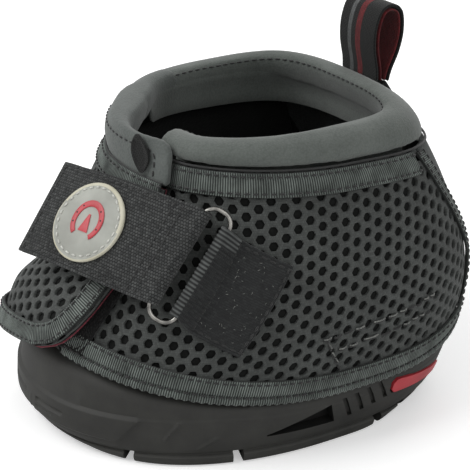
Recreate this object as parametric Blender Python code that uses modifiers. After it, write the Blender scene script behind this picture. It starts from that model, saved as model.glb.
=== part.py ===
"""A hoof boot for a horse: a moulded sole, a laminated mesh upper with a padded collar,
an overlapping front flap, and a webbing strap that closes over the flap through a wire link.

Metres, +Z up, toe towards -Y. The origin lies on the ground under the middle of the tread.
Places on the upper are written as an angle round the boot (0 at the toe, 90 at the right side,
180 at the heel, in degrees), a height, and a distance out from the upper's outer skin."""

import math

import bmesh
import bpy
import numpy as np
from mathutils import Matrix, Vector

# Overall size of the upper's outer skin.
TOE_REACH = 0.0835
HEEL_REACH = 0.1020
HALF_WIDTH = 0.0750
COLLAR_HEIGHT = 0.1255

# Outline of the skin, as shares of the sizes above, from the ground to the collar.
LEVEL_SHARES = (0.0, 0.092, 0.247, 0.464, 0.696, 0.897, 1.0)
TOE_SHARES = (1.0, 0.993, 0.962, 0.807, 0.588, 0.461, 0.444)
HEEL_SHARES = (0.851, 0.902, 0.970, 1.0, 0.907, 0.780, 0.694)
WIDTH_SHARES = (0.955, 0.977, 1.0, 0.981, 0.876, 0.776, 0.723)
MIDDLE_SHARES = (0.42, 0.58)
MIDDLE_SHIFT = 0.0039
FRONT_ROUND = 2.1
REAR_ROUND_LOW = 3.2
REAR_ROUND_HIGH = 2.8
REAR_TAPER_LOW = 0.10
REAR_TAPER_HIGH = -0.14
TAPER_POWER = 1.6

# Cloth thicknesses and the clearance between layers.
GAP = 0.0004
EDGE_GAP_ANGLE = 0.45
PANEL_THICKNESS = 0.0030
LINER_THICKNESS = 0.0012
LINER_GAP = 0.0006
TAPE_THICKNESS = 0.0011
TAPE_WIDTH = 0.0100
PROBE = 0.0005
PROBE_TURN = 0.05
CELL = 0.0068

# Heights of the upper's lower hem and of the seam under the collar.
HEM_TOE = 0.0385
HEM_SIDE = 0.0232
HEM_HEEL = 0.0375
SEAM_TOE = 0.1135
SEAM_HEEL = 0.1090

# The front: where the inner panel dips under the flap, and how far the flap stands out over it.
DIP = 0.0030
DIP_START = 35.0
DIP_SPREAD = 14.0
DIP_LEVELS = (0.046, 0.070)
FLAP_HINGE = -40.0
FLAP_RAMP_LOW = 19.0
FLAP_RAMP_HIGH = 40.0
FLAP_RAMP_LATER = 6.0
FLAP_ROOT_OUT = 0.0002
FLAP_OUT_LOW = 0.0090
FLAP_OUT_HIGH = 0.0036
FLAP_OUT_LEVELS = (0.045, 0.074)
FLAP_TUCK = 0.0066
FLAP_TUCK_LEVELS = (0.093, 0.114)
FLAP_TUCK_START = -70.0
FLAP_THICKNESS = 0.0027
FLAP_EDGE_ROWS = (0.0, 0.05, 0.12, 0.24, 0.40, 0.65, 0.85, 1.0)
FLAP_EDGE_ANGLES = (7.0, 12.5, 16.0, 18.8, 20.6, 23.0, 25.8, 26.5)
FLAP_HEM_ANGLES = (-40.0, -24.5, -3.0, 7.0)
FLAP_HEM_HEIGHTS = (0.0330, 0.0315, 0.0360, 0.0385)
LINING_START = -35.0
LINING_THICKNESS = 0.0009
FLAP_TAPE_ROOT = 0.0095
FLAP_TAPE_TIP = 0.0040
FLAP_TAPE_THICKNESS = 0.0005
FLAP_SEAM_ROOT = 0.1095
FLAP_SEAM_TIP = 0.1025
UNDERLAP_ROWS = (0.0, 0.08, 0.25, 0.7, 0.86, 1.0)
UNDERLAP_ANGLES = (10.0, 4.0, -1.0, 0.0, 10.0, 12.5)
UNDERLAP_SETBACK = 2.0
COLLAR_START = 14.5
PILE_ANGLES = (2.0, 25.0)
PILE_HEIGHTS = (0.0510, 0.0980)
PILE_THICKNESS = 0.0013

# The heel: the seam between side panel and rear panel runs down and backwards.
HEEL_SEAM_LEVELS = (0.030, 0.045, 0.062, 0.080, 0.093, 0.109)
HEEL_SEAM_ANGLES = (143.0, 144.0, 141.0, 134.0, 128.0, 122.0)
COUNTER_THICKNESS = 0.0016
COUNTER_HEIGHTS = (0.0420, 0.0780)
HEEL_PAD_THICKNESS = 0.0040

# The sole.
TREAD_DEPTH = 0.0055
FLOOR_HEIGHT = 0.0120
GUARD_HEIGHT = 0.0196
GUARD_STEP = 0.0009
GUARD_HALF_ANGLE = 39.0
ROCKER = 0.0120
ROCKER_SHARPNESS = 3.0
REAR_TUCK = 0.0065
REAR_TUCK_START = 94.0
REAR_TUCK_SPREAD = 24.0
ROCKER_HEIGHT = 0.0095
WALL_THICKNESS = 0.0036
WALL_LAP = 0.0085
SHOULDER_TOE = 0.0085
SHOULDER_SIDE = 0.0034
SOLE_TUCK = 0.0008
BASE_INSET = 0.0010
LUG_BAND = 0.0240
LUG_CHANNEL = 0.0045
LUG_SLOT = 0.0042
LUG_SLOT_ANGLES = (38.0, 67.0, 99.0, 110.0, 140.0)
PAD_GROOVE = 0.0040
PAD_GROOVE_PLACES = (-0.0260, 0.0260)
INSOLE_THICKNESS = 0.0060
INSERT_ANGLES = (99.5, 130.0)
INSERT_LOWS = (0.0142, 0.0108)
INSERT_HIGHS = (0.0210, 0.0168)
INSERT_DEPTH = 0.0018
INSERT_PROUD = 0.0006
RECESS_DEPTH = 0.0026
RECESS_ANGLES = (74.0, 90.5)
RECESS_HEIGHTS = (0.0110, 0.0175)
OVERRUN = 0.0030

# The padded collar, as shares of its height and depth round its section.
RIM_TOE = 0.1224
RIM_HEEL = 0.1262
COLLAR_BULGE = 0.0024
COLLAR_DROP = 0.0110
COLLAR_SKIN = 0.0011
SECTION_OUT_SHARES = (0.0, 0.75, 1.0, 0.45, -0.95, -2.4, -3.75, -4.55, -4.75, -4.55, -4.2)
SECTION_UP_SHARES = (0.03, 0.26, 0.52, 0.80, 0.97, 1.0, 0.90, 0.62, 0.25, -0.28, -0.80)
FLAP_COLLAR_END = 26.0
FLAP_COLLAR_ROOT = 0.0100
FLAP_COLLAR_TIP = 0.0036
FLAP_COLLAR_TAPER = (-22.0, 12.0)
FLAP_COLLAR_FALL = 0.0030
LEAF_WIDTH_ANGLES = (9.0, 19.0)
LEAF_HEIGHTS = (0.1100, 0.1215)
LEAF_THICKNESS = 0.0008
LEAF_LIFT = 0.35

# The link, the strap and the band that anchors it.
WIRE_RADIUS = 0.0011
BAR_CLEARANCE = 0.0005
LINK_WIDTH = 0.0113
LINK_STRAIGHT = 0.0410
LINK_CORNER = 0.0030
BAND_BAR_ANGLE = 45.83
BAND_BAR_HEIGHT = 0.0756
BAND_BAR_OUT = 0.0057
STRAP_BAR_ANGLE = 37.96
STRAP_BAR_HEIGHT = 0.0798
STRAP_BAR_OUT = 0.0084
BAR_DIRECTION_SHARES = (0.0, -0.603, -0.798)
STRAP_WIDTH = 0.0400
STRAP_THICKNESS = 0.0015
STRAP_REACH = 0.0570
STRAP_END = 0.0100
STRAP_TIP_ANGLE = -2.83
STRAP_TIP_HEIGHT = 0.0801
STRAP_TIP_OUT = 0.0129
STRAP_TWIST_SHARES = (0.240, -0.655, -0.717)
STRAP_TAIL_BEND = 14.0
STRAP_RETURN = 0.0125
STRAP_PLY_GAP = 0.0004
STRAP_SHIFT = 0.0004
STRAP_BOW = 0.0034
STRAP_SINK = 0.0005
STRAP_SINK_REACH = 0.0150
HOOK_PAD_PLACES = (0.0330, 0.0630)
HOOK_PAD_THICKNESS = 0.0012
HOOK_PAD_WIDTH = 0.0320
BADGE_RADIUS = 0.0162
BADGE_PLACE = 0.0405
BADGE_THICKNESS = 0.0014
BAND_WIDTH = 0.0380
BAND_THICKNESS = 0.0012
BAND_NEAR = ((53.5, 0.0885), (46.0, 0.0560))
BAND_FAR = ((69.5, 0.0775), (60.5, 0.0462))

# The pull loop at the heel.
LOOP_WIDTH = 0.0250
LOOP_HEIGHT = 0.0312
LOOP_DEPTH = 0.0125
LOOP_FORWARD = 0.0012
LOOP_DROP = 0.0016
LOOP_BACK_SHARES = (-0.17, -0.24, -0.44, -0.50, -0.36, 0.0, 0.36, 0.50, 0.44, 0.24, 0.17)
LOOP_UP_SHARES = (0.0, 0.16, 0.42, 0.68, 0.92, 1.0, 0.92, 0.68, 0.42, 0.16, 0.0)
LOOP_STEPS = 25
LOOP_LEAN = 7.0
LOOP_SECTION_ROW = 3
LOOP_THICKNESS = 0.0012
LOOP_LINING = 0.0008
TAB_DROP = 0.0125
TAB_THICKNESS = 0.0016

PARTS = "hoof_boot"
CUTTERS = "hoof_boot_cutters"


def clear_scene():
    """Start from an empty scene with the two collections."""
    for old in list(bpy.data.objects):
        bpy.data.objects.remove(old, do_unlink=True)
    for name in (PARTS, CUTTERS):
        group = bpy.data.collections.new(name)
        bpy.context.scene.collection.children.link(group)


def material(name, colour, roughness, metallic=0.0):
    """A Principled material, made once."""
    found = bpy.data.materials.get(name)
    if found:
        return found
    made = bpy.data.materials.new(name)
    made.use_nodes = True
    shader = made.node_tree.nodes["Principled BSDF"]
    shader.inputs["Base Color"].default_value = (*colour, 1.0)
    shader.inputs["Roughness"].default_value = roughness
    shader.inputs["Metallic"].default_value = metallic
    made.diffuse_color = (*colour, 1.0)
    return made


def sole_rubber():
    return material("sole_rubber", (0.058, 0.056, 0.052), 0.62)


def mesh_cloth():
    return material("mesh_cloth", (0.045, 0.046, 0.045), 0.85)


def collar_cloth():
    return material("collar_cloth", (0.130, 0.150, 0.140), 0.88)


def tape_cloth():
    return material("tape_cloth", (0.090, 0.105, 0.110), 0.80)


def black_cloth():
    return material("black_cloth", (0.018, 0.018, 0.019), 0.90)


def strap_cloth():
    return material("strap_cloth", (0.050, 0.051, 0.055), 0.72)


def red_cloth():
    return material("red_cloth", (0.330, 0.020, 0.055), 0.85)


def red_plastic():
    return material("red_plastic", (0.560, 0.045, 0.055), 0.42)


def badge_plastic():
    return material("badge_plastic", (0.540, 0.540, 0.560), 0.50)


def foam():
    return material("foam", (0.100, 0.100, 0.100), 0.95)


def steel():
    return material("steel", (0.640, 0.640, 0.620), 0.22, 1.0)


def smooth_step(value):
    """A share that eases from 0 to 1."""
    share = np.clip(value, 0.0, 1.0)
    return share * share * (3.0 - 2.0 * share)


def through(levels, values, at):
    """A smooth curve through a table."""
    levels = np.asarray(levels, float)
    values = np.asarray(values, float)
    slopes = np.gradient(values, levels)
    cell = np.clip(np.searchsorted(levels, at) - 1, 0, len(levels) - 2)
    span = levels[cell + 1] - levels[cell]
    t = np.clip((at - levels[cell]) / span, 0.0, 1.0)
    start = (2 * t**3 - 3 * t**2 + 1) * values[cell] + (t**3 - 2 * t**2 + t) * span * slopes[cell]
    stop = (3 * t**2 - 2 * t**3) * values[cell + 1] + (t**3 - t**2) * span * slopes[cell + 1]
    return start + stop


def skin(angle, height):
    """Points on the upper's outer skin."""
    angle, height = np.broadcast_arrays(np.asarray(angle, float), np.asarray(height, float))
    level = np.clip(height / COLLAR_HEIGHT, 0.0, 1.0)
    toe = -TOE_REACH * through(LEVEL_SHARES, TOE_SHARES, level)
    heel = HEEL_REACH * through(LEVEL_SHARES, HEEL_SHARES, level)
    half = HALF_WIDTH * through(LEVEL_SHARES, WIDTH_SHARES, level)
    middle = MIDDLE_SHARES[0] * toe + MIDDLE_SHARES[1] * heel - MIDDLE_SHIFT
    turn = np.radians(angle)
    ahead, aside = np.cos(turn), np.sin(turn)
    front = ahead > 0
    rear_round = REAR_ROUND_LOW + (REAR_ROUND_HIGH - REAR_ROUND_LOW) * level
    power = 2.0 / np.where(front, FRONT_ROUND, rear_round)
    taper = REAR_TAPER_LOW + (REAR_TAPER_HIGH - REAR_TAPER_LOW) * level
    narrow = np.where(front, 1.0, 1.0 - taper * np.abs(ahead) ** TAPER_POWER)
    x = half * np.sign(aside) * np.abs(aside) ** power * narrow
    reach = np.where(front, toe - middle, heel - middle)
    y = middle + reach * np.abs(ahead) ** power
    return np.stack([x, y, height], -1)


def outward(angle, height):
    """The skin's normals."""
    along = skin(angle + PROBE_TURN, height) - skin(angle - PROBE_TURN, height)
    up = skin(angle, height + PROBE) - skin(angle, height - PROBE)
    normal = np.cross(along, up)
    return normal / np.linalg.norm(normal, axis=-1, keepdims=True)


def level_outward(angle, height):
    """The skin's normals laid level, for the collar's section."""
    normal = outward(angle, height) * np.array([1.0, 1.0, 0.0])
    return normal / np.linalg.norm(normal, axis=-1, keepdims=True)


def hem(angle):
    """Height of the upper's lower edge."""
    ahead = np.cos(np.radians(angle))
    toe = (HEM_TOE - HEM_SIDE) * np.clip(ahead, 0.0, 1.0) ** 2
    heel = (HEM_HEEL - HEM_SIDE) * np.clip(-ahead, 0.0, 1.0) ** 2
    return HEM_SIDE + toe + heel


def seam(angle):
    """Height of the seam between the panels and the collar."""
    share = (1.0 + np.cos(np.radians(angle))) / 2.0
    return SEAM_HEEL + (SEAM_TOE - SEAM_HEEL) * share


def dip(angle, height):
    """The inner panel's fall under the flap, where the flap lies close to it."""
    low, high = DIP_LEVELS
    angle = (np.asarray(angle, float) + 180.0) % 360.0 - 180.0
    height = np.asarray(height, float)
    under = -DIP * smooth_step((DIP_START - angle) / DIP_SPREAD) * smooth_step((height - low) / (high - low))
    beside = smooth_step((angle - FLAP_TUCK_START) / (FLAP_HINGE - FLAP_TUCK_START))
    return np.where(angle > FLAP_HINGE, under, -tuck(height) * beside)


def tuck(height):
    """How far the upper's left front draws in under the collar."""
    low, high = FLAP_TUCK_LEVELS
    return FLAP_TUCK * smooth_step((np.asarray(height, float) - low) / (high - low))


def flap_out(angle, height):
    """How far the flap's outer face stands out from the skin."""
    low, high = FLAP_OUT_LEVELS
    fall = smooth_step((height - low) / (high - low))
    full = FLAP_OUT_LOW + (FLAP_OUT_HIGH - FLAP_OUT_LOW) * fall
    start = FLAP_HINGE + FLAP_RAMP_LATER * fall
    spread = FLAP_RAMP_LOW + (FLAP_RAMP_HIGH - FLAP_RAMP_LOW) * fall
    ramp = smooth_step((angle - start) / spread)
    return FLAP_ROOT_OUT + (full - FLAP_ROOT_OUT) * ramp - tuck(height) * (1.0 - ramp)


def flap_seam(angle):
    """Height of the seam under the flap's padded end."""
    share = (np.asarray(angle, float) - FLAP_HINGE) / (FLAP_COLLAR_END - FLAP_HINGE)
    return FLAP_SEAM_ROOT + (FLAP_SEAM_TIP - FLAP_SEAM_ROOT) * share


def even_angles(start, stop, height, count):
    """Angles at even distances along the skin."""
    fine = np.linspace(start, stop, 40 * count)
    steps = np.linalg.norm(np.diff(skin(fine, height), axis=0), axis=1)
    walked = np.concatenate([[0.0], np.cumsum(steps)])
    return np.interp(np.linspace(0.0, walked[-1], count), walked, fine)


def distance_along(start, stop, height):
    """Distance along the skin between two angles."""
    fine = np.linspace(start, stop, 200)
    return float(np.linalg.norm(np.diff(skin(fine, height), axis=0), axis=1).sum())


def grid_faces(columns, rows, wrap=False):
    """Quads over a grid of points, column by column."""
    last = columns if wrap else columns - 1
    faces = []
    for column in range(last):
        beside = (column + 1) % columns
        for row in range(rows - 1):
            a = column * rows + row
            b = beside * rows + row
            faces.append((a, b, b + 1, a + 1))
    return faces


def add_object(name, points, faces, look, group=PARTS):
    """An object with a new mesh."""
    mesh = bpy.data.meshes.new(name)
    mesh.from_pydata([tuple(point) for point in np.reshape(points, (-1, 3))], [], faces)
    mesh.update()
    mesh.materials.append(look)
    mesh.shade_smooth()
    mesh.set_sharp_from_angle(angle=math.radians(40.0))
    made = bpy.data.objects.new(name, mesh)
    bpy.data.collections[group].objects.link(made)
    return made


def thicken(made, thickness, side=-1.0):
    """A wall on an open sheet, grown inwards from its outer face."""
    wall = made.modifiers.new("wall", "SOLIDIFY")
    wall.thickness = thickness
    wall.offset = side
    wall.use_even_offset = True
    return made


def sheet(name, angles, heights, out, thickness, look):
    """A cloth layer over part of the skin: its outer face, with a wall grown inwards."""
    points = skin(angles, heights) + outward(angles, heights) * np.asarray(out)[..., None]
    made = add_object(name, points, grid_faces(*angles.shape), look)
    return thicken(made, thickness)


def patch_grid(start, stop, low, high, rows, cell=CELL):
    """Angles and heights over a four-sided patch, whose ends may change with the row."""
    shares = np.linspace(0.0, 1.0, rows)
    middle = (np.mean(low(0.0)) + np.mean(high(0.0))) / 2.0
    widest = max(distance_along(start(s), stop(s), middle) for s in shares)
    columns = max(3, int(math.ceil(widest / cell)) + 1)
    angles = np.zeros((columns, rows))
    heights = np.zeros((columns, rows))
    for row, share in enumerate(shares):
        level = float(low(90.0) + (high(90.0) - low(90.0)) * share)
        angles[:, row] = even_angles(start(share), stop(share), level, columns)
        bottom = low(angles[:, row])
        heights[:, row] = bottom + (high(angles[:, row]) - bottom) * share
    return angles, heights


def block_between(name, angles, heights, inner, outer, look, group=PARTS):
    """A closed solid between two distances out from the skin."""
    columns, rows = angles.shape
    normal = outward(angles, heights)
    near = skin(angles, heights) + normal * np.asarray(inner)[..., None]
    far = skin(angles, heights) + normal * np.asarray(outer)[..., None]
    count = columns * rows
    faces = grid_faces(columns, rows)
    solid = [tuple(count + i for i in face) for face in faces]
    solid += [tuple(reversed(face)) for face in faces]
    edge = [c * rows for c in range(columns)]
    edge += [(columns - 1) * rows + r for r in range(1, rows)]
    edge += [c * rows + rows - 1 for c in range(columns - 2, -1, -1)]
    edge += [r for r in range(rows - 2, 0, -1)]
    for here, there in zip(edge, edge[1:] + edge[:1]):
        solid.append((here, there, count + there, count + here))
    points = np.concatenate([near.reshape(-1, 3), far.reshape(-1, 3)])
    return add_object(name, points, solid, look, group)


def place(made, pivot):
    """Move an object's origin to its joint's axis."""
    made.data.transform(Matrix.Translation(-Vector(pivot)))
    made.location = pivot
    return made


def as_cutter(made):
    """Keep a cutter out of the model."""
    made.hide_render = True
    made.display_type = "WIRE"
    return made


def cut(made, cutter):
    """Take one cutter out of an object."""
    change = made.modifiers.new(cutter.name, "BOOLEAN")
    change.operation = "DIFFERENCE"
    change.object = cutter


def sole_profile(angle):
    """The sole's section at one angle, from the ground up outside and down inside."""
    edge = float(hem(angle))
    top = edge + WALL_LAP
    ahead = max(math.cos(math.radians(angle)), 0.0) ** 2
    behind = float(smooth_step((180.0 - abs(angle % 360.0 - 180.0) - REAR_TUCK_START) / REAR_TUCK_SPREAD))
    shoulder = SHOULDER_SIDE + (SHOULDER_TOE - SHOULDER_SIDE) * ahead
    groove = min(GUARD_HEIGHT, edge - shoulder - 2 * GUARD_STEP)
    over = max(groove + 2 * GUARD_STEP, edge - shoulder)
    guard = GUARD_STEP if abs(angle) < GUARD_HALF_ANGLE else 0.0
    lap = PANEL_THICKNESS + GAP
    rock = ROCKER * ahead ** ROCKER_SHARPNESS + REAR_TUCK * behind
    inner = lap + WALL_THICKNESS

    def rise(height):
        return rock * max(0.0, 1.0 - height / ROCKER_HEIGHT) ** 2

    base = TREAD_DEPTH / 4.0
    return [
        (0.0, -BASE_INSET - rise(0.0), level_outward),
        (base, -BASE_INSET / 2.0 - rise(base), level_outward),
        (TREAD_DEPTH, -SOLE_TUCK - rise(TREAD_DEPTH), level_outward),
        ((TREAD_DEPTH + groove) / 2.0, guard - rise((TREAD_DEPTH + groove) / 2.0), level_outward),
        (groove, guard, level_outward),
        (groove + GUARD_STEP, -SOLE_TUCK / 2.0, level_outward),
        (over, -SOLE_TUCK / 2.0, level_outward),
        ((over + edge) / 2.0, -lap / 2.0, level_outward),
        (edge - SOLE_TUCK, -lap, outward),
        (top, -lap, outward),
        (top, -inner, outward),
        ((top + FLOOR_HEIGHT) / 2.0, -inner - SOLE_TUCK, level_outward),
        (FLOOR_HEIGHT + TREAD_DEPTH / 2.0, -inner - WALL_THICKNESS / 2.0, level_outward),
        (FLOOR_HEIGHT, -inner - WALL_THICKNESS, level_outward),
    ]


def ring_angles(count):
    """Angles all round the boot at even distances, starting at the toe, the same on both sides."""
    half = even_angles(0.0, 180.0, GUARD_HEIGHT, count // 2 + 1)
    return np.concatenate([half, -half[-2:0:-1]])


def make_outsole():
    """The moulded sole: a tub with a tread, whose wall stands inside the upper's hem."""
    angles = ring_angles(76)
    rows = len(sole_profile(0.0))
    points = []
    for angle in angles:
        for height, out, normal in sole_profile(angle):
            points.append(skin(angle, height) + normal(angle, height) * out)
    faces = grid_faces(len(angles), rows, wrap=True)
    faces.append(tuple(column * rows for column in reversed(range(len(angles)))))
    faces.append(tuple(column * rows + rows - 1 for column in range(len(angles))))
    return add_object("outsole", points, faces, sole_rubber())


def make_channel_cutter():
    """The groove that parts the tread's rim from its middle pad."""
    angles = ring_angles(40)
    points = []
    for angle in angles:
        front = ROCKER * max(math.cos(math.radians(angle)), 0.0) ** 2
        normal = level_outward(angle, TREAD_DEPTH)
        base = skin(angle, TREAD_DEPTH) * np.array([1.0, 1.0, 0.0])
        outer = base - normal * (LUG_BAND + front)
        inner = outer - normal * LUG_CHANNEL
        corners = (outer, -OVERRUN), (outer, TREAD_DEPTH), (inner, TREAD_DEPTH), (inner, -OVERRUN)
        for spot, height in corners:
            points.append(spot + np.array([0.0, 0.0, height]))
    faces = []
    count = len(angles)
    for column in range(count):
        beside = (column + 1) % count
        for row in range(4):
            above = (row + 1) % 4
            faces.append((column * 4 + row, beside * 4 + row, beside * 4 + above, column * 4 + above))
    made = add_object("channel_cutter", points, faces, sole_rubber(), CUTTERS)
    return as_cutter(made)


def box_cutter(name, size, middle, turn=0.0):
    """A box that cuts the tread."""
    bpy.ops.mesh.primitive_cube_add(size=1.0, location=middle, rotation=(0.0, 0.0, turn))
    made = bpy.context.active_object
    made.name = name
    made.data.transform(Matrix.Diagonal((*size, 1.0)))
    for group in list(made.users_collection):
        group.objects.unlink(made)
    bpy.data.collections[CUTTERS].objects.link(made)
    return as_cutter(made)


def cut_tread(outsole):
    """Slots between the lugs, the channel round the middle pad, and grooves across it."""
    cut(outsole, make_channel_cutter())
    length = LUG_BAND + LUG_CHANNEL + 2 * OVERRUN
    depth = TREAD_DEPTH + OVERRUN
    for side in (1.0, -1.0):
        for angle in LUG_SLOT_ANGLES:
            edge = skin(side * angle, TREAD_DEPTH)
            normal = level_outward(side * angle, TREAD_DEPTH)
            front = ROCKER * max(math.cos(math.radians(angle)), 0.0) ** 2
            start = edge + normal * (2 * OVERRUN)
            middle = start - normal * (length + front) / 2.0
            middle[2] = (TREAD_DEPTH - OVERRUN) / 2.0
            turn = math.atan2(normal[1], normal[0])
            size = (length + front, LUG_SLOT, depth)
            hand = "right" if side > 0 else "left"
            cut(outsole, box_cutter(f"slot_cutter_{hand}_{angle:.0f}", size, middle, turn))
    for number, place_along in enumerate(PAD_GROOVE_PLACES, 1):
        middle = (0.0, place_along, (TREAD_DEPTH / 2.0 - OVERRUN) / 2.0)
        size = (2 * (HALF_WIDTH - LUG_BAND), PAD_GROOVE, TREAD_DEPTH / 2.0 + OVERRUN)
        cut(outsole, box_cutter(f"pad_cutter_{number}", size, middle))


def insert_grid(side, margin=0.0):
    """The long rounded plate at the sole's rear side, taller towards the toe."""
    start, stop = INSERT_ANGLES
    angles = even_angles(start + margin, stop - margin, GUARD_HEIGHT, 9)
    share = np.linspace(0.0, 1.0, 9)
    rounding = np.minimum(1.0, np.sqrt(np.minimum(share, 1.0 - share) * 9.0 + 0.12))
    low = INSERT_LOWS[0] + (INSERT_LOWS[1] - INSERT_LOWS[0]) * share
    high = INSERT_HIGHS[0] + (INSERT_HIGHS[1] - INSERT_HIGHS[0]) * share
    middle = (low + high)[:, None] / 2.0
    half = (high - low) / 2.0 * rounding
    rows = np.array([-1.0, 1.0])
    heights = middle + half[:, None] * rows[None, :]
    grid = np.repeat(angles[:, None], 2, axis=1)
    return (side * grid)[:: int(side)], heights[:: int(side)]


def make_insert(side):
    """A coloured plate let into the sole's side."""
    hand = "right" if side > 0 else "left"
    angles, heights = insert_grid(side)
    shape = np.ones_like(angles)
    name = f"insert_cutter_{hand}"
    bottom = -INSERT_DEPTH * shape
    cutter = block_between(name, angles, heights, bottom, OVERRUN * shape, red_plastic(), CUTTERS)
    as_cutter(cutter)
    middle = np.mean(heights, axis=1, keepdims=True)
    centre = np.mean(angles)
    shrink = GAP / ((INSERT_HIGHS[1] - INSERT_LOWS[1]) / 2.0)
    small = middle + (heights - middle) * (1.0 - shrink)
    inside = centre + (angles - centre) * (1.0 - shrink / 2.0)
    name = f"sole_insert_{hand}"
    plate = block_between(name, inside, small, bottom + GAP * shape, INSERT_PROUD * shape, red_plastic())
    return plate, cutter


def make_recess_cutter(side):
    """The wedge-shaped recess in the sole's side, ahead of the plate."""
    hand = "right" if side > 0 else "left"
    start, stop = RECESS_ANGLES
    low, high = RECESS_HEIGHTS
    share = np.linspace(0.0, 1.0, 6)
    angles = np.repeat((start + (stop - start) * share)[:, None], 2, axis=1)
    bottom = low + (high - low) * share * 0.25
    top = low + (high - low) * (0.25 + 0.75 * share)
    heights = np.stack([bottom, top], 1)
    angles = (side * angles)[:: int(side)]
    heights = heights[:: int(side)]
    shape = np.ones_like(angles)
    name = f"recess_cutter_{hand}"
    bottom = -RECESS_DEPTH * shape
    made = block_between(name, angles, heights, bottom, OVERRUN * shape, sole_rubber(), CUTTERS)
    return as_cutter(made)


def make_sole():
    """The sole with its tread, side plates and insole."""
    outsole = make_outsole()
    cut_tread(outsole)
    for side in (1.0, -1.0):
        _, cutter = make_insert(side)
        cut(outsole, cutter)
        cut(outsole, make_recess_cutter(side))
    make_insole()


def make_insole():
    """The foam pad that the hoof stands on."""
    angles = ring_angles(36)
    inset = PANEL_THICKNESS + WALL_THICKNESS * 1.5 + 2 * GAP + SOLE_TUCK + LINER_THICKNESS
    points = []
    for angle in angles:
        normal = level_outward(angle, FLOOR_HEIGHT)
        spot = skin(angle, FLOOR_HEIGHT) - normal * (inset + WALL_THICKNESS)
        for height in (FLOOR_HEIGHT + GAP, FLOOR_HEIGHT + GAP + INSOLE_THICKNESS):
            points.append((spot[0], spot[1], height))
    faces = grid_faces(len(angles), 2, wrap=True)
    faces.append(tuple(column * 2 for column in reversed(range(len(angles)))))
    faces.append(tuple(column * 2 + 1 for column in range(len(angles))))
    return add_object("insole_pad", points, faces, foam())


def heel_seam(height):
    """Angle of the seam between side panel and rear panel."""
    level = np.clip(height, HEEL_SEAM_LEVELS[0], HEEL_SEAM_LEVELS[-1])
    return through(HEEL_SEAM_LEVELS, HEEL_SEAM_ANGLES, level)


def heel_seam_at(share):
    """Angle of the heel seam at a share of the panels' rise."""
    angle = HEEL_SEAM_ANGLES[0]
    for _ in range(4):
        height = hem(angle) + (seam(angle) - hem(angle)) * share
        angle = float(heel_seam(height))
    return angle


def mirrored(angles, heights):
    """The same patch on the boot's left side."""
    return -angles[::-1], heights[::-1]


def make_side_panels():
    """The mesh panels: the right one runs on under the flap, the left one stops at the flap's root."""
    rows = 13

    def front(share):
        return float(through(UNDERLAP_ROWS, UNDERLAP_ANGLES, share))

    def rear(share):
        return heel_seam_at(share) - EDGE_GAP_ANGLE

    angles, heights = patch_grid(front, rear, hem, seam, rows)
    sheet("right_side_panel", angles, heights, dip(angles, heights), PANEL_THICKNESS, mesh_cloth())

    def root(share):
        return -FLAP_HINGE + 4 * EDGE_GAP_ANGLE

    angles, heights = patch_grid(root, rear, hem, seam, rows)
    angles, heights = mirrored(angles, heights)
    sheet("left_side_panel", angles, heights, dip(angles, heights), PANEL_THICKNESS, mesh_cloth())


def make_rear():
    """The rear panel between the heel seams, its stiffener and its pad."""

    def start(share):
        return heel_seam_at(share) + EDGE_GAP_ANGLE

    def stop(share):
        return 360.0 - start(share)

    angles, heights = patch_grid(start, stop, hem, seam, 13)
    sheet("rear_panel", angles, heights, np.zeros_like(angles), PANEL_THICKNESS, black_cloth())

    bottom, top = COUNTER_HEIGHTS

    def wide(share):
        return 132.0

    def far(share):
        return 360.0 - wide(share)

    def counter_low(angle):
        return bottom + 0.0 * np.asarray(angle)

    def counter_high(angle):
        return top + 0.0 * np.asarray(angle)

    angles, heights = patch_grid(wide, far, counter_low, counter_high, 5)
    out = np.full_like(angles, -PANEL_THICKNESS - GAP)
    # Below its middle the stiffener stands inside the sole's wall.
    sole = hem(angles) + WALL_LAP + 2 * GAP
    heights = np.maximum(heights, sole + (heights - bottom))
    sheet("heel_counter", angles, heights, out, COUNTER_THICKNESS, sole_rubber())
    out = out - COUNTER_THICKNESS - GAP
    sheet("heel_pad", angles, heights, out, HEEL_PAD_THICKNESS, foam())


def make_liners():
    """The inner lining of each side, above the sole's wall."""

    def low(angle):
        return hem(angle) + WALL_LAP + 2 * GAP

    def high(angle):
        return seam(angle) - COLLAR_DROP - 2 * GAP

    def front(share):
        return float(through(UNDERLAP_ROWS, UNDERLAP_ANGLES, share)) + UNDERLAP_SETBACK

    def rear(share):
        return 129.5

    angles, heights = patch_grid(front, rear, low, high, 7, 1.6 * CELL)
    out = dip(angles, heights) - PANEL_THICKNESS - LINER_GAP
    sheet("right_liner", angles, heights, out, LINER_THICKNESS, black_cloth())

    def root(share):
        return -FLAP_HINGE + 1.5

    angles, heights = patch_grid(root, rear, low, high, 7, 1.6 * CELL)
    angles, heights = mirrored(angles, heights)
    out = dip(angles, heights) - PANEL_THICKNESS - LINER_GAP
    sheet("left_liner", angles, heights, out, LINER_THICKNESS, black_cloth())


def tape_between(name, angles, low, high, out, rows=3):
    """A binding tape laid over the skin."""
    shares = np.linspace(0.0, 1.0, rows)
    grid = np.repeat(angles[:, None], rows, axis=1)
    heights = low(grid) + (high(grid) - low(grid)) * shares
    return sheet(name, grid, heights, out(grid, heights) + GAP + TAPE_THICKNESS, TAPE_THICKNESS, tape_cloth())


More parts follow.
